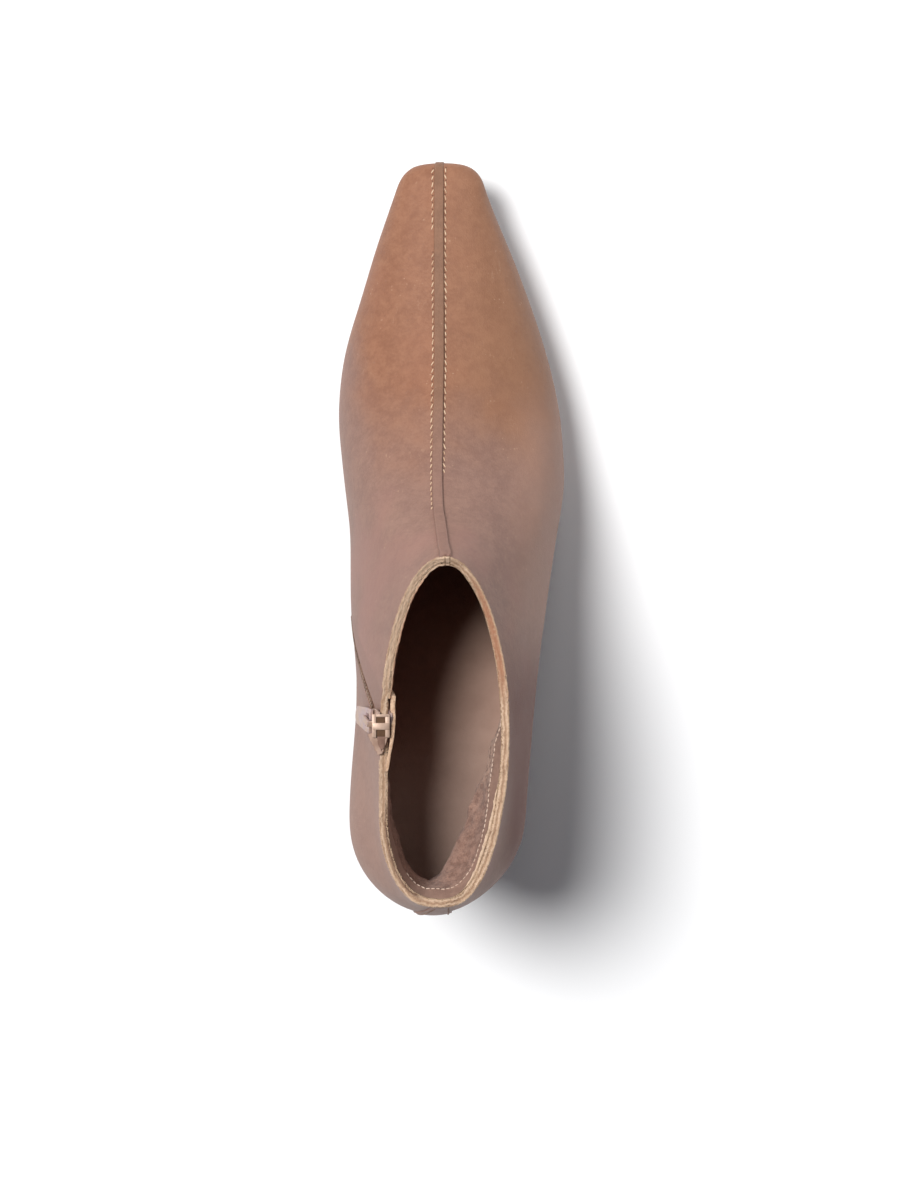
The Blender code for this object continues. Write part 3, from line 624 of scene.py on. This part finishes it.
def makeUpper(shape):
    piece = mergedCopy("upper", "bootUpper")
    markLining(piece, shape)
    keepSharp(piece, 50, shape["sharp"])
    smoothed(piece, shape["levels"])
    depths = wallDepths(piece.data)
    for face in piece.data.polygons:
        inside = float(np.mean([depths[v] for v in face.vertices]))
        onCollar = face.normal.z > shape["rimUp"] and face.center.z > shape["collarOver"]
        face.material_index = rim if onCollar else slot
        if inside < shape["skinBelow"]:
            face.material_index = skin
        elif inside > shape["liningOver"]:
            face.material_index = lining
    roughenRim(piece, shape)
    leanBack(piece.data, shape)
    pressCreases(piece.data, shape)
    handOver(piece, [leather, rawEdge, innerLining, slotEdgeInShade], "upper_leather", "upper", angle=50)
    return piece


bootUpper = makeUpper(upperShape)
upperTree = treeOf(bootUpper)
print("upper ready")

# Small repeats: one modelled shape, copied to its spots and joined
repeatShape = {"thread": (8, 6), "fibre": (6, 4), "looseTurn": 0.35, "looseLength": 0.4}


def firstShape(kind, size):
    if kind == "tooth":
        first = added("first", bpy.ops.mesh.primitive_cube_add, size=1)
    else:
        around, rings = repeatShape[kind]
        first = added("first", bpy.ops.mesh.primitive_uv_sphere_add, segments=around, ring_count=rings,
                      radius=0.5)
    openEdit(first)
    if kind == "tooth":
        bpy.ops.mesh.bevel(offset=0.2, segments=1, affect="EDGES")
    bpy.ops.transform.rotate(value=math.pi / 2, orient_axis="Y", center_override=(0, 0, 0))
    bpy.ops.transform.resize(value=[side * mm for side in size], center_override=(0, 0, 0))
    closeEdit()
    return first


# each spot is a point, a direction along the row and the direction off the surface
def makeRow(name, spots, size, finish, slotName="upper_leather", kind="thread", slant=0, loose=0):
    first = firstShape(kind, size)
    copies = []
    for k, (point, along, out) in enumerate(spots):
        copy = first.copy()
        copy.data = first.data.copy()
        bpy.context.scene.collection.objects.link(copy)
        out = out.normalized()
        along = (along - out * along.dot(out)).normalized()
        turn = slant + loose * repeatShape["looseTurn"] * noise.noise(Vector((k * 0.83, 3.1, 0.4)))
        turned = along * math.cos(turn) + out.cross(along) * math.sin(turn)
        rows = Matrix((turned, out.cross(turned), out)).transposed().to_4x4()
        longer = 1 + loose * repeatShape["looseLength"] * noise.noise(Vector((k * 1.31, 7.7, 1.2)))
        copy.matrix_world = Matrix.Translation(point) @ rows @ Matrix.Diagonal((longer, 1, 1, 1))
        copies.append(copy)
    bpy.data.objects.remove(first)
    piece = joined(copies, name)
    bpy.ops.object.transform_apply(location=True, rotation=True, scale=True)
    handOver(piece, [finish], slotName, angle=30 if kind == "tooth" else 180)


# even spots along a line of points, each with its direction
def evenSpots(points, pitch):
    spots, left = [], 0.0
    for first, second in zip(points[:-1], points[1:]):
        step = second - first
        length = step.length
        while left < length:
            spots.append((first + step * (left / length), step.normalized()))
            left += pitch
        left -= length
    return spots


# such spots just off a surface, or off their own points; pitch and lift in mm
def sewnSpots(tree, points, pitch, lift, onSurface=True):
    spots = []
    for point, along in evenSpots(points, pitch * mm):
        spot, normal = tree.find_nearest(point)[:2]
        spots.append(((spot if onSurface else point) + normal * (lift * mm), along, normal))
    return spots


# Centre seam: raised strip with a row of thread on each side
seamShape = {
    "levels": 2, "sharp": 0.55, "thick": 0.85, "sink": -0.4, "skinAt": (0.35, 0.95),
    # towards the toe the strip gets thinner and moves to the left
    "toeThick": 0.4, "thinner": (119, 129), "toeLeft": 1.17, "leftFrom": 60, "leftOver": 68,
    "throat": -10, "drawnFrom": 4, "throatRight": 0.6, "scan": (-12, 6, 0.1),
    "beside": 0.62, "pitch": 2.7, "lift": 0.08, "stitch": (2.05, 0.5, 0.5), "hole": (0.45, 0.45, 0.2),
    "slant": 0.3, "loose": 1, "left": 7, "right": 20, "toe": 129, "bareLeft": (98.5, 106),
}


# lays the strip flat on the upper and draws it up to the collar
def laySeam(piece, shape):
    lowest = min(vertex.co.y for vertex in piece.data.vertices)
    start = shape["drawnFrom"] * mm
    for vertex in piece.data.vertices:
        spot, normal = upperTree.find_nearest(vertex.co)[:2]
        over = (vertex.co - spot).dot(normal) / mm
        sway = min(max((vertex.co.y / mm - shape["leftFrom"]) / shape["leftOver"], 0), 1)
        goal = vertex.co - Vector((shape["toeLeft"] * mm * sway, 0, 0))
        spot, normal = upperTree.find_nearest(goal)[:2]
        if vertex.co.y < start:
            share = (start - vertex.co.y) / (start - lowest)
            hit = drop(upperTree, vertex.co.x + shape["throatRight"] * mm * share * share,
                       start + (shape["throat"] * mm - start) * share)
            if hit[0]:
                spot, normal = hit
        thin = softStep(goal.y / mm, *shape["thinner"])
        thick = shape["thick"] + (shape["toeThick"] - shape["thick"]) * thin
        height = shape["sink"] + (thick - shape["sink"]) * softStep(over, *shape["skinAt"])
        vertex.co = spot + normal * height * mm


def makeSeam(shape):
    strip = softCopy("seam_piping", "seamStrip", 40, shape)
    laySeam(strip, shape)
    handOver(strip, [stripLeather], "upper_leather", "seam_piping", angle=60)
    tree = treeOf(strip)
    rows = {"left": [], "right": []}      # each starts at its own distance from the throat
    for y in np.arange(0, shape["toe"], 1):
        hits = [x for x in np.arange(*shape["scan"]) if drop(tree, x * mm, y * mm)[0]]
        if not hits:
            continue
        for side, x in (("left", hits[0] - shape["beside"]), ("right", hits[-1] + shape["beside"])):
            spot = drop(upperTree, x * mm, y * mm)[0]
            if spot and y >= shape[side]:
                rows[side].append(spot)
    for side, points in rows.items():
        spots = sewnSpots(upperTree, points, shape["pitch"], shape["lift"])
        slant = shape["slant"]
        if side == "left":
            slant = -slant
            low, high = shape["bareLeft"]      # the thread is worn away here
            spots = [spot for spot in spots if not low < spot[0].y / mm < high]
        makeRow("seamStitches_" + side, spots, shape["stitch"], threads["creamThread"], slant=slant,
                loose=shape["loose"])
        # dark discs between the stitches: painted shade in the needle holes
        holes = [(spot + along * shape["pitch"] * mm / 2, along, out) for spot, along, out in spots]
        makeRow("seamHoles_" + side, holes, shape["hole"], threads["needleHoleShade"])


makeSeam(seamShape)
print("centre seam ready")

# Back strip over the heel seam
backShape = {
    "levels": 2, "sharp": 0.4, "thick": 0.55, "sink": -0.4, "belowRim": 1.6, "thinner": 0.8, "thinOver": 3,
    "pitch": 2.5, "lift": 0.1, "stitch": (1.9, 0.6, 0.6), "loose": 0.5, "inset": 1.1, "ends": 2,
}


# lays the strip on the upper's back, its top just below the collar's edge
def layBack(piece, shape, top):
    normals = [vertex.normal.copy() for vertex in piece.data.vertices]
    for vertex, outward in zip(piece.data.vertices, normals):
        z = min(vertex.co.z, top)
        spot, normal = fromBehind(upperTree, vertex.co.x, z)
        thick = shape["thick"] * (1 - shape["thinner"] * softStep(z, top - shape["thinOver"] * mm, top))
        height = shape["sink"] + (thick - shape["sink"]) * softStep(outward.dot(normal), -0.3, 0.3)
        vertex.co = spot + normal * height * mm


def makeBack(shape):
    strip = softCopy("back_strip", "backStrip", 40, shape)
    low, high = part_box("back_strip")
    top = high.z - shape["belowRim"] * mm
    layBack(strip, shape, top)
    handOver(strip, [leather], "upper_leather", "back_strip", angle=60)
    tree = treeOf(strip)
    ends = shape["ends"] * mm
    for side, sideName in ((-1, "inner"), (1, "outer")):
        points = []
        for z in np.arange(low.z + ends, top - ends, mm):
            hits = [x for x in np.arange(low.x, high.x, 0.1 * mm) if fromBehind(tree, x, z)[0]]
            if not hits:
                continue
            x = (hits[0] if side < 0 else hits[-1]) - side * shape["inset"] * mm
            spot = fromBehind(tree, x, z)[0]
            if spot:
                points.append(spot)
        spots = sewnSpots(tree, points, shape["pitch"], shape["lift"])
        makeRow("backStitches_" + sideName, spots, shape["stitch"], threads["brownThread"],
                loose=shape["loose"])


makeBack(backShape)
print("back strip ready")

# Sock: the inner sole
sockShape = {"levels": 2, "sharp": 0.6}
innerSock = softCopy("insole", "innerSock", 50, sockShape)
handOver(innerSock, [sockLeather], "insole_leather", "insole", angle=50)
print("sock ready")

# Collar: the lining's own cut edge beside the upper's, and loose fibres along both
collarShape = {
    "from": 172, "to": -155, "step": 1.2, "evenOver": 7,
    # thickness of the lining's edge in mm, by direction in degrees
    "layer": [(-155, 0.2), (-100, 0.15), (-90, 0.2), (-84, 0.45), (-79, 1.25), (-66, 1.3), (-58, 0.8),
              (-50, 0.2), (-20, 0.12), (60, 0.12), (84, 0.15), (90, 0.95), (96, 0.8), (172, 0.8)],
    "deep": 8, "probe": 7, "ragged": 0.24, "fibres": (1400, 3100), "lumps": 0.25, "lump": 330,
    "fibreStep": 0.32, "fibre": (0.85, 0.2, 0.17), "stray": 2700,
    # a fibre's pull up, along the edge and astray, and its root's stray and lift in mm
    "aim": (0.5, 0.4, 1.1), "rootStray": 0.2, "rootLift": 0.1, "roll": 0.3,
    # rows of loose fibres: the finishes each runs between, its lean and its shift inwards in mm
    "frays": {"outer": ((skin, rim), -1, 0.1), "inner": ((rim, lining), 0.8, -0.25)},
}


# points along the collar between two finishes, by direction about a centre
def rimLoop(centre, first, second):
    mesh = bootUpper.data
    touched = {first: set(), second: set()}
    for face in mesh.polygons:
        if face.material_index in touched:
            touched[face.material_index].update(face.vertices)
    spots = [mesh.vertices[index].co for index in touched[first] & touched[second]]
    return {turnAbout(centre, spot): spot.copy() for spot in spots}


# the same points made smooth and even, from the front of the zip round to its back
def evenRim(shape, first, second, step):
    found = rimLoop(collarCentre, first, second)
    turns = sorted((t for t in found if shape["to"] < t < shape["from"]), reverse=True)
    points = np.array([list(found[t]) for t in turns])
    wide = shape["evenOver"]
    padded = np.pad(points, ((wide, wide), (0, 0)), "edge")
    weights = np.ones(2 * wide + 1) / (2 * wide + 1)
    points = np.stack([np.convolve(column, weights, "valid") for column in padded.T], 1)
    lengths = np.concatenate([[0], np.cumsum(np.linalg.norm(np.diff(points, axis=0), axis=1))])
    places = np.linspace(0, lengths[-1], int(lengths[-1] / (step * mm)))
    points = np.stack([np.interp(places, lengths, column) for column in points.T], 1)
    spots = []
    for point, along in zip(points, np.gradient(points, axis=0)):
        along = Vector(along).normalized()
        spots.append((Vector(point), along, Vector((along.y, -along.x, 0)).normalized()))
    return spots      # point, direction along the edge, direction into the boot


# the closed outline of the lining's edge at a spot, and how loose its fibres are
def edgeOutline(shape, point, inward):
    turns, layers = np.array(shape["layer"], float).T
    wide = float(np.interp(turnAbout(collarCentre, point), turns, layers))
    probe = shape["probe"] * mm
    low = point + inward * probe - up * shape["deep"] * mm
    hit = upperTree.ray_cast(low, -inward, 0.02)[0]
    foot = (hit if hit else low - inward * probe) - inward * 0.0003
    edge = min(0.14, wide * 0.3)
    offsets = [(-0.4, -1.5), (0, -0.45), (edge, -0.08), (wide * 0.5, 0.04), (wide - edge, -0.1),
               (wide, -0.45), (wide, -1.8), (wide * 0.9, -4)]      # inwards and up, in mm
    column = [point + inward * a * mm + up * b * mm for a, b in offsets] + [foot]
    return column + [column[0]], min(1, 0.2 + wide)


def makeCollarEdge(shape):
    spots = evenRim(shape, rim, lining, shape["step"])
    outlines = [edgeOutline(shape, point, inward) for point, _, inward in spots]
    across, down = len(spots) - 1, len(outlines[0][0]) - 1
    piece = newGrid("liningEdge", across, down)
    layer = piece.data.attributes.new("wallDepth", "FLOAT", "POINT")
    for vertex in piece.data.vertices:
        column, loose = outlines[round((vertex.co.x + 0.5) * across)]
        row = round((vertex.co.y + 0.5) * down)
        layer.data[vertex.index].value = 1.0 + min(max(row - 1, 0), 4) / 4      # 1 to 2 over the cut edge
        spot = column[row]
        pull = sum((noise.noise_vector(spot * scale) for scale in shape["fibres"]), Vector())
        lump = noise.noise_vector(spot * shape["lump"]) * shape["lumps"]
        pull = (pull * shape["ragged"] + lump) * loose
        vertex.co = spot + (pull * mm if 1 <= row <= 5 else Vector())
    for face in piece.data.polygons:
        face.material_index = 0 if 1 <= face.index // across <= 4 else 1
    openEdit(piece)
    bpy.ops.mesh.remove_doubles(threshold=0.00001)
    bpy.ops.mesh.select_all(action="SELECT")
    bpy.ops.mesh.fill_holes(sides=0)
    closeEdit()
    turnFaces(piece)
    handOver(piece, [rawEdge, bandLeather], "upper_leather", angle=70)


def makeFibres(shape):
    upward, onward, astray = shape["aim"]
    for side, (pair, lean, shift) in shape["frays"].items():
        fray = []
        for point, along, inward in evenRim(shape, *pair, shape["fibreStep"]):
            stray = noise.noise_vector(point * shape["stray"])
            aim = (inward * lean + up * upward + along * onward + stray * astray).normalized()
            root = point + inward * (shift + shape["rootStray"] * stray.x) * mm
            fray.append((root + aim * shape["rootLift"] * mm, aim, up + stray * shape["roll"]))
        makeRow("collarFibres_" + side, fray, shape["fibre"], threads["frayedFibre"], kind="fibre",
                loose=1)


makeCollarEdge(collarShape)
makeFibres(collarShape)
print("collar edge ready")

# Heel lining: the soft facing inside the collar, with its row of pale thread
liningShape = {
    "centre": (-2.4, -82),
    # free lower edge from above, in mm, from the outer side round the back to the zip
    "edge": [(14.5, -63.8), (14, -68), (13.2, -73), (12.2, -78.5), (8.9, -87), (5.6, -93.8),
             (1.8, -105), (-1.2, -112), (-4.4, -117.2), (-8, -119), (-11.4, -117.6),
             (-15.2, -113), (-18, -105), (-20.4, -93), (-21.6, -82)],
    # from this share of the rows on, the facing tucks in under its free edge
    "freeEdge": 0.7, "drop": 26, "tuckIn": 3.5, "tuckDown": 16,
    "bandCurve": 1.1, "leanCurve": 1.25, "dropCurve": 1.15, "bandMost": 0.6,
    "sags": [(0.16, 1), (0.5, 0.35)], "belowRim": 0.9, "atRim": 0.05, "leastLean": 0.3, "intoWall": 0.8,
    "band": 0.36, "bandWide": 2.7, "fade": 0.09, "lumps": 0.8, "columns": 120, "rows": 30, "thick": 1,
    "pitch": 1.75, "lift": 0.1, "stitch": (1.45, 0.42, 0.4), "loose": 0.4, "sewn": (0.02, 0.7),
}


def makeLining(shape):
    centre = np.array(shape["centre"])
    edge = np.array(shape["edge"], float) - centre
    edgeTurns = np.degrees(np.arctan2(edge[:, 1], edge[:, 0]))
    edgeTurns = np.where(edgeTurns > 90, edgeTurns - 360, edgeTurns)
    edgeReach = np.hypot(*edge.T)
    rimSpots = rimLoop(shape["centre"], rim, lining)
    rimTurns = np.array([t if t <= 90 else t - 360 for t in rimSpots], float)
    order = np.argsort(rimTurns)
    rimPoints = np.array([list(p) for p in rimSpots.values()])[order]
    rimTurns = rimTurns[order]
    rimReach = np.hypot(*(rimPoints[:, :2] / mm - centre).T)
    first, last = edgeTurns[0], edgeTurns[-1]
    band, freeEdge = shape["band"], shape["freeEdge"]

    # a point of the facing, u round the heel and v from the rim down
    def place(u, v):
        turn = first + (last - first) * u
        reach = np.interp(turn, rimTurns, rimReach) - shape["atRim"]
        top = np.interp(turn, rimTurns, rimPoints[:, 2] / mm) - shape["belowRim"]
        goal = min(np.interp(-turn, -edgeTurns, edgeReach), reach - shape["leastLean"])
        wall = reach + shape["intoWall"]
        goal = wall + (goal - wall) * softStep(min(u, 1 - u), 0, shape["fade"])
        if v <= freeEdge:
            share = v / freeEdge
            lean = reach - goal
            sewn = min(shape["bandWide"], lean * shape["bandMost"])      # the row of thread, from the rim
            if share < band:
                radius = reach - sewn * (share / band) ** shape["bandCurve"]
            else:
                radius = reach - sewn - (lean - sewn) * ((share - band) / (1 - band)) ** shape["leanCurve"]
            z = top - shape["drop"] * share ** shape["dropCurve"]
        else:
            share = (v - freeEdge) / (1 - freeEdge)
            radius = goal + shape["tuckIn"] * share * share
            z = top - shape["drop"] - shape["tuckDown"] * math.sin(share * math.pi / 2)
        angle = math.radians(turn)
        spot = Vector((centre[0] + radius * math.cos(angle), centre[1] + radius * math.sin(angle), z))
        lump = shape["lumps"] * softStep(v, 0.25, 0.45)
        sag = sum((noise.noise_vector(spot * size) * much for size, much in shape["sags"]), Vector())
        return (spot + sag * lump) * mm

    piece = newGrid("heelLining", shape["columns"], shape["rows"])
    for vertex in piece.data.vertices:
        vertex.co = place(vertex.co.x + 0.5, vertex.co.y + 0.5)
    for face in piece.data.polygons:
        row = face.index // shape["columns"]
        face.material_index = 1 if row < band * freeEdge * shape["rows"] else 0
    turnFaces(piece, inside=True)      # the facing looks into the boot
    applied(piece, "SOLIDIFY", thickness=shape["thick"] * mm, offset=-1)
    handOver(piece, [suede, bandLeather], "insole_leather", angle=60)
    points = [place(u, band * freeEdge) for u in np.linspace(*shape["sewn"], 100)]
    spots = sewnSpots(treeOf(piece), points, shape["pitch"], shape["lift"], onSurface=False)
    makeRow("liningStitches", spots, shape["stitch"], threads["paleThread"], "insole_leather",
            loose=shape["loose"])


makeLining(liningShape)
print("lining ready")

# Sole, stacked heel and top lift
soleShape = {"levels": 2, "sharp": 0.7}
heelShape = {"firstSeam": 4, "lastSeam": 2, "groove": 0.16, "grooveDeep": 0.14}


def makeHeelPiece(shape):
    heel = mergedCopy("heel_block", "stackedHeel")
    low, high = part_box("heel_block")
    first, last = low.z + shape["firstSeam"] * mm, high.z - shape["lastSeam"] * mm
    seams = np.arange(first, last, heelLook["layer"] * mm)
    for z in seams:
        for lift in (-shape["groove"], 0, shape["groove"]):
            openEdit(heel)
            bpy.ops.mesh.bisect(plane_co=(0, 0, z + lift * mm), plane_no=(0, 0, 1))
            closeEdit()
    for vertex in heel.data.vertices:
        vertex.select = any(abs(vertex.co.z - z) < 0.00002 for z in seams)
    openEdit(heel, "VERT", None)
    bpy.ops.transform.shrink_fatten(value=-shape["grooveDeep"] * mm)
    closeEdit()
    handOver(heel, [heelLeather], "heel_leather", "heel_block")


handOver(softCopy("outsole", "outerSole", 40, soleShape), [soleRubber], "sole_rubber", "outsole")
makeHeelPiece(heelShape)
handOver(mergedCopy("top_lift", "heelTopLift"), [soleRubber], "sole_rubber", "top_lift")
print("sole and heel ready")

# Zip: chain, tape, guard, slider and pull
zipShape = {
    "bevel": 0.16, "mouthBevel": 0.1,
    "tooth": (1.7, 0.6, 0.9), "pitch": 0.95, "beside": 0.35, "lift": 0.1, "bareEnds": (1.2, 1),
    # the guard's top is drawn in towards the slider
    "levels": 1, "sharp": 0.7, "guardFrom": -56.3, "guardShorter": 0.8, "guardTop": 88, "guardIn": 0.55,
    # the folded tape end behind the slider, as three ribbons: finish, width and points in mm
    "tapes": {
        "zipTapeEnd": (
            "beigeTape", 3.2, [(-26.6, -68.4, 111.5), (-25.3, -71.8, 112), (-23.7, -75.6, 112.5)]),
        "zipTapeInner": (
            "beigeTape", 0.8, [(-21.6, -69.8, 111.6), (-22.3, -72.2, 111.9), (-23.2, -75, 112.3)]),
        "zipTapeFold": (
            "brownTape", 3.4, [(-23.6, -69.2, 111.7), (-23.5, -71.6, 112.1), (-23.3, -74, 112.3)]),
    },
    "tapeThick": 0.4, "tailThick": 0.7, "tailWide": 1.7,
    "guardTail": [(-19.7, -58.5, 109.1), (-19.4, -63, 109.9), (-19.5, -67, 110.3), (-20, -71.5, 110.8),
                  (-20.9, -76.5, 111.7), (-21.6, -81.5, 112.3)],
    # two opposite corners of each small block, in mm: the slider's light frame and its dark mouths, a dark
    # tape tone painted as the shade inside the slider
    "sliderFrame": [((-26.5, -70, 111.1), (-25.1, -62.2, 112.7)),
                    ((-22.1, -70, 111), (-20.6, -62.5, 112.6)),
                    ((-26.3, -63.2, 111.2), (-20.8, -62.2, 112.6)),
                    ((-26.3, -67.4, 111.2), (-20.8, -65.1, 112.8))],
    "sliderMouth": [((-26.2, -69.6, 110.9), (-21.2, -62.6, 112.25))],
}


# small blocks with rounded edges, joined
def makeBlocks(name, blocks, bevel, finish):
    pieces = []
    for low, high in blocks:
        low, high = Vector(low) * mm, Vector(high) * mm
        piece = added(name, bpy.ops.mesh.primitive_cube_add, size=1)
        openEdit(piece)
        bpy.ops.transform.resize(value=high - low, center_override=(0, 0, 0))
        bpy.ops.transform.translate(value=(low + high) / 2)
        bpy.ops.mesh.bevel(offset=bevel * mm, segments=2, affect="EDGES")
        closeEdit()
        pieces.append(piece)
    piece = joined(pieces, name)
    handOver(piece, [finish], "zip_metal", angle=40)


# a narrow ribbon along a few points, from a flat grid
def makeRibbon(name, line, wide, thick, finish, slotName, taper=0.45, fray=0.25, crown=0.5):
    piece = newGrid(name, 20, 4)
    points = np.array(line, float)
    shares = np.linspace(0, 1, len(points))
    ahead = points[-1] - points[0]
    across = np.array([-ahead[1], ahead[0], 0]) / np.hypot(ahead[0], ahead[1])
    for vertex in piece.data.vertices:
        share, side = vertex.co.x + 0.5, vertex.co.y
        spot = np.array([np.interp(share, shares, column) for column in points.T])
        stray = noise.noise(Vector(spot) * 1.9) * fray
        spot = spot + across * side * wide * (1 - taper * share + stray) - [0, 0, crown * side * side]
        vertex.co = Vector(spot) * mm
    applied(piece, "SOLIDIFY", thickness=thick * mm, offset=0)
    smoothed(piece, 1)
    turnFaces(piece)
    handOver(piece, [finish], slotName, angle=50)


def makeTeeth(chain, shape):
    tree = treeOf(chain)
    low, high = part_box("zip_chain")
    foot, head = shape["bareEnds"]
    middles = []
    for z in np.arange(low.z + foot * mm, high.z - head * mm, 0.5 * mm):
        starts = [Vector((-farOff, y, z)) for y in np.arange(low.y, high.y, 0.2 * mm)]
        hits = [spot for spot in (tree.ray_cast(start, Vector((1, 0, 0)))[0] for start in starts) if spot]
        if hits:
            middles.append(sum(hits, Vector()) / len(hits))
    spots = []
    for k, (point, along, out) in enumerate(sewnSpots(tree, middles, shape["pitch"], shape["lift"])):
        across = out.cross(along).normalized()
        side = shape["beside"] * mm * (1 if k % 2 else -1)      # teeth of the two rows take turns
        spots.append((point + across * side, across, out))
    makeRow("zipTeeth", spots, shape["tooth"], chainMetal, "zip_metal", "tooth")


def makeGuard(shape):
    guard = softCopy("zip_guard", "zipGuard", 40, shape)
    low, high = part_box("zip_guard")
    start = shape["guardFrom"] * mm
    for vertex in guard.data.vertices:
        top = softStep(vertex.co.z / mm, shape["guardTop"], high.z / mm - 4)
        vertex.co.y += (start + (vertex.co.y - start) * shape["guardShorter"] - vertex.co.y) * top
        vertex.co.x -= shape["guardIn"] * mm * top
    handOver(guard, [guardLeather], "guard_leather", "zip_guard")


def makeZip(shape):
    makeGuard(shape)
    handOver(mergedCopy("zip_tape", "zipTape"), [tapes["brownTape"]], "zip_tape", "zip_tape")
    for name, (finish, wide, line) in shape["tapes"].items():
        makeRibbon(name, line, wide, shape["tapeThick"], tapes[finish], "zip_tape")
    makeRibbon("zipGuardTail", shape["guardTail"], shape["tailWide"], shape["tailThick"], guardLeather,
               "guard_leather")
    makeBlocks("zipSliderFrame", shape["sliderFrame"], shape["bevel"], frameMetal)
    makeBlocks("zipSliderMouth", shape["sliderMouth"], shape["mouthBevel"], tapes["mouthShadeTape"])
    chain = mergedCopy("zip_chain", "zipChain")
    handOver(chain, [tapes["brownTape"]], "zip_metal", "zip_chain")
    makeTeeth(chain, shape)
    for node, name, body in (("zip_slider", "zipSlider", "boot"), ("zip_pull", "zipPull", "pull")):
        piece = mergedCopy(node, name)
        openEdit(piece, "FACE")
        bpy.ops.mesh.dissolve_limited(angle_limit=math.radians(2))
        closeEdit()
        applied(piece, "BEVEL", width=shape["bevel"] * mm, segments=2, limit_method="ANGLE",
                angle_limit=math.radians(35))
        handOver(piece, [zipMetal], "zip_metal", node, body=body, angle=40)


makeZip(zipShape)
print("zip ready")

# Floor, light and camera
studio = {
    "floor": tint(250, 250, 250), "floorSize": 16,
    "key": 3.7, "keyFrom": (-0.89, 0.41, 1.9), "keyTo": (0, 0, 0), "keyAngle": 0.46,
    "fill": 0.5, "fillFrom": (0.14, 0.3, 0.28), "fillTo": (0.03, 0.08, 0), "fillSize": 0.24,
    "air": tint(206, 214, 240), "airStrength": 0.07,
    "cameraAt": (-0.00055, -0.0242, 1.5), "lens": 125.13, "sensor": 36,
}


def addLight(kind, name, look):
    start, goal = Vector(look[name + "From"]), Vector(look[name + "To"])
    bpy.ops.object.light_add(type=kind, location=start)
    light = bpy.context.active_object
    light.name = name + "Light"
    light.data.energy = look[name]
    light.rotation_euler = (goal - start).to_track_quat("-Z", "Y").to_euler()
    return light


def makeStudio(look):
    floor = added("floor", bpy.ops.mesh.primitive_plane_add, size=look["floorSize"], location=(0, 0, 0))
    finish = newFinish("floorWhite")[0]
    floor.data.materials.append(wireUp(finish, colour=look["floor"], rough=0.9, gloss=0.1))
    # a broad soft key from the upper left, and a small soft fill beside the toe
    addLight("SUN", "key", look).data.angle = look["keyAngle"]
    fill = addLight("AREA", "fill", look)
    fill.data.size = look["fillSize"]
    fill.visible_camera = False
    world = bpy.data.worlds.new("studioAir")
    bpy.context.scene.world = world
    world.use_nodes = True
    air = world.node_tree.nodes["Background"]
    air.inputs["Color"].default_value = look["air"]
    air.inputs["Strength"].default_value = look["airStrength"]
    bpy.ops.object.camera_add(location=look["cameraAt"], rotation=(0, 0, 0))
    camera = bpy.context.active_object
    camera.data.sensor_fit = "VERTICAL"
    camera.data.sensor_height = look["sensor"]
    camera.data.lens = look["lens"]
    bpy.context.scene.camera = camera
    bpy.context.scene.view_settings.view_transform = "Standard"


makeStudio(studio)
print("studio ready")
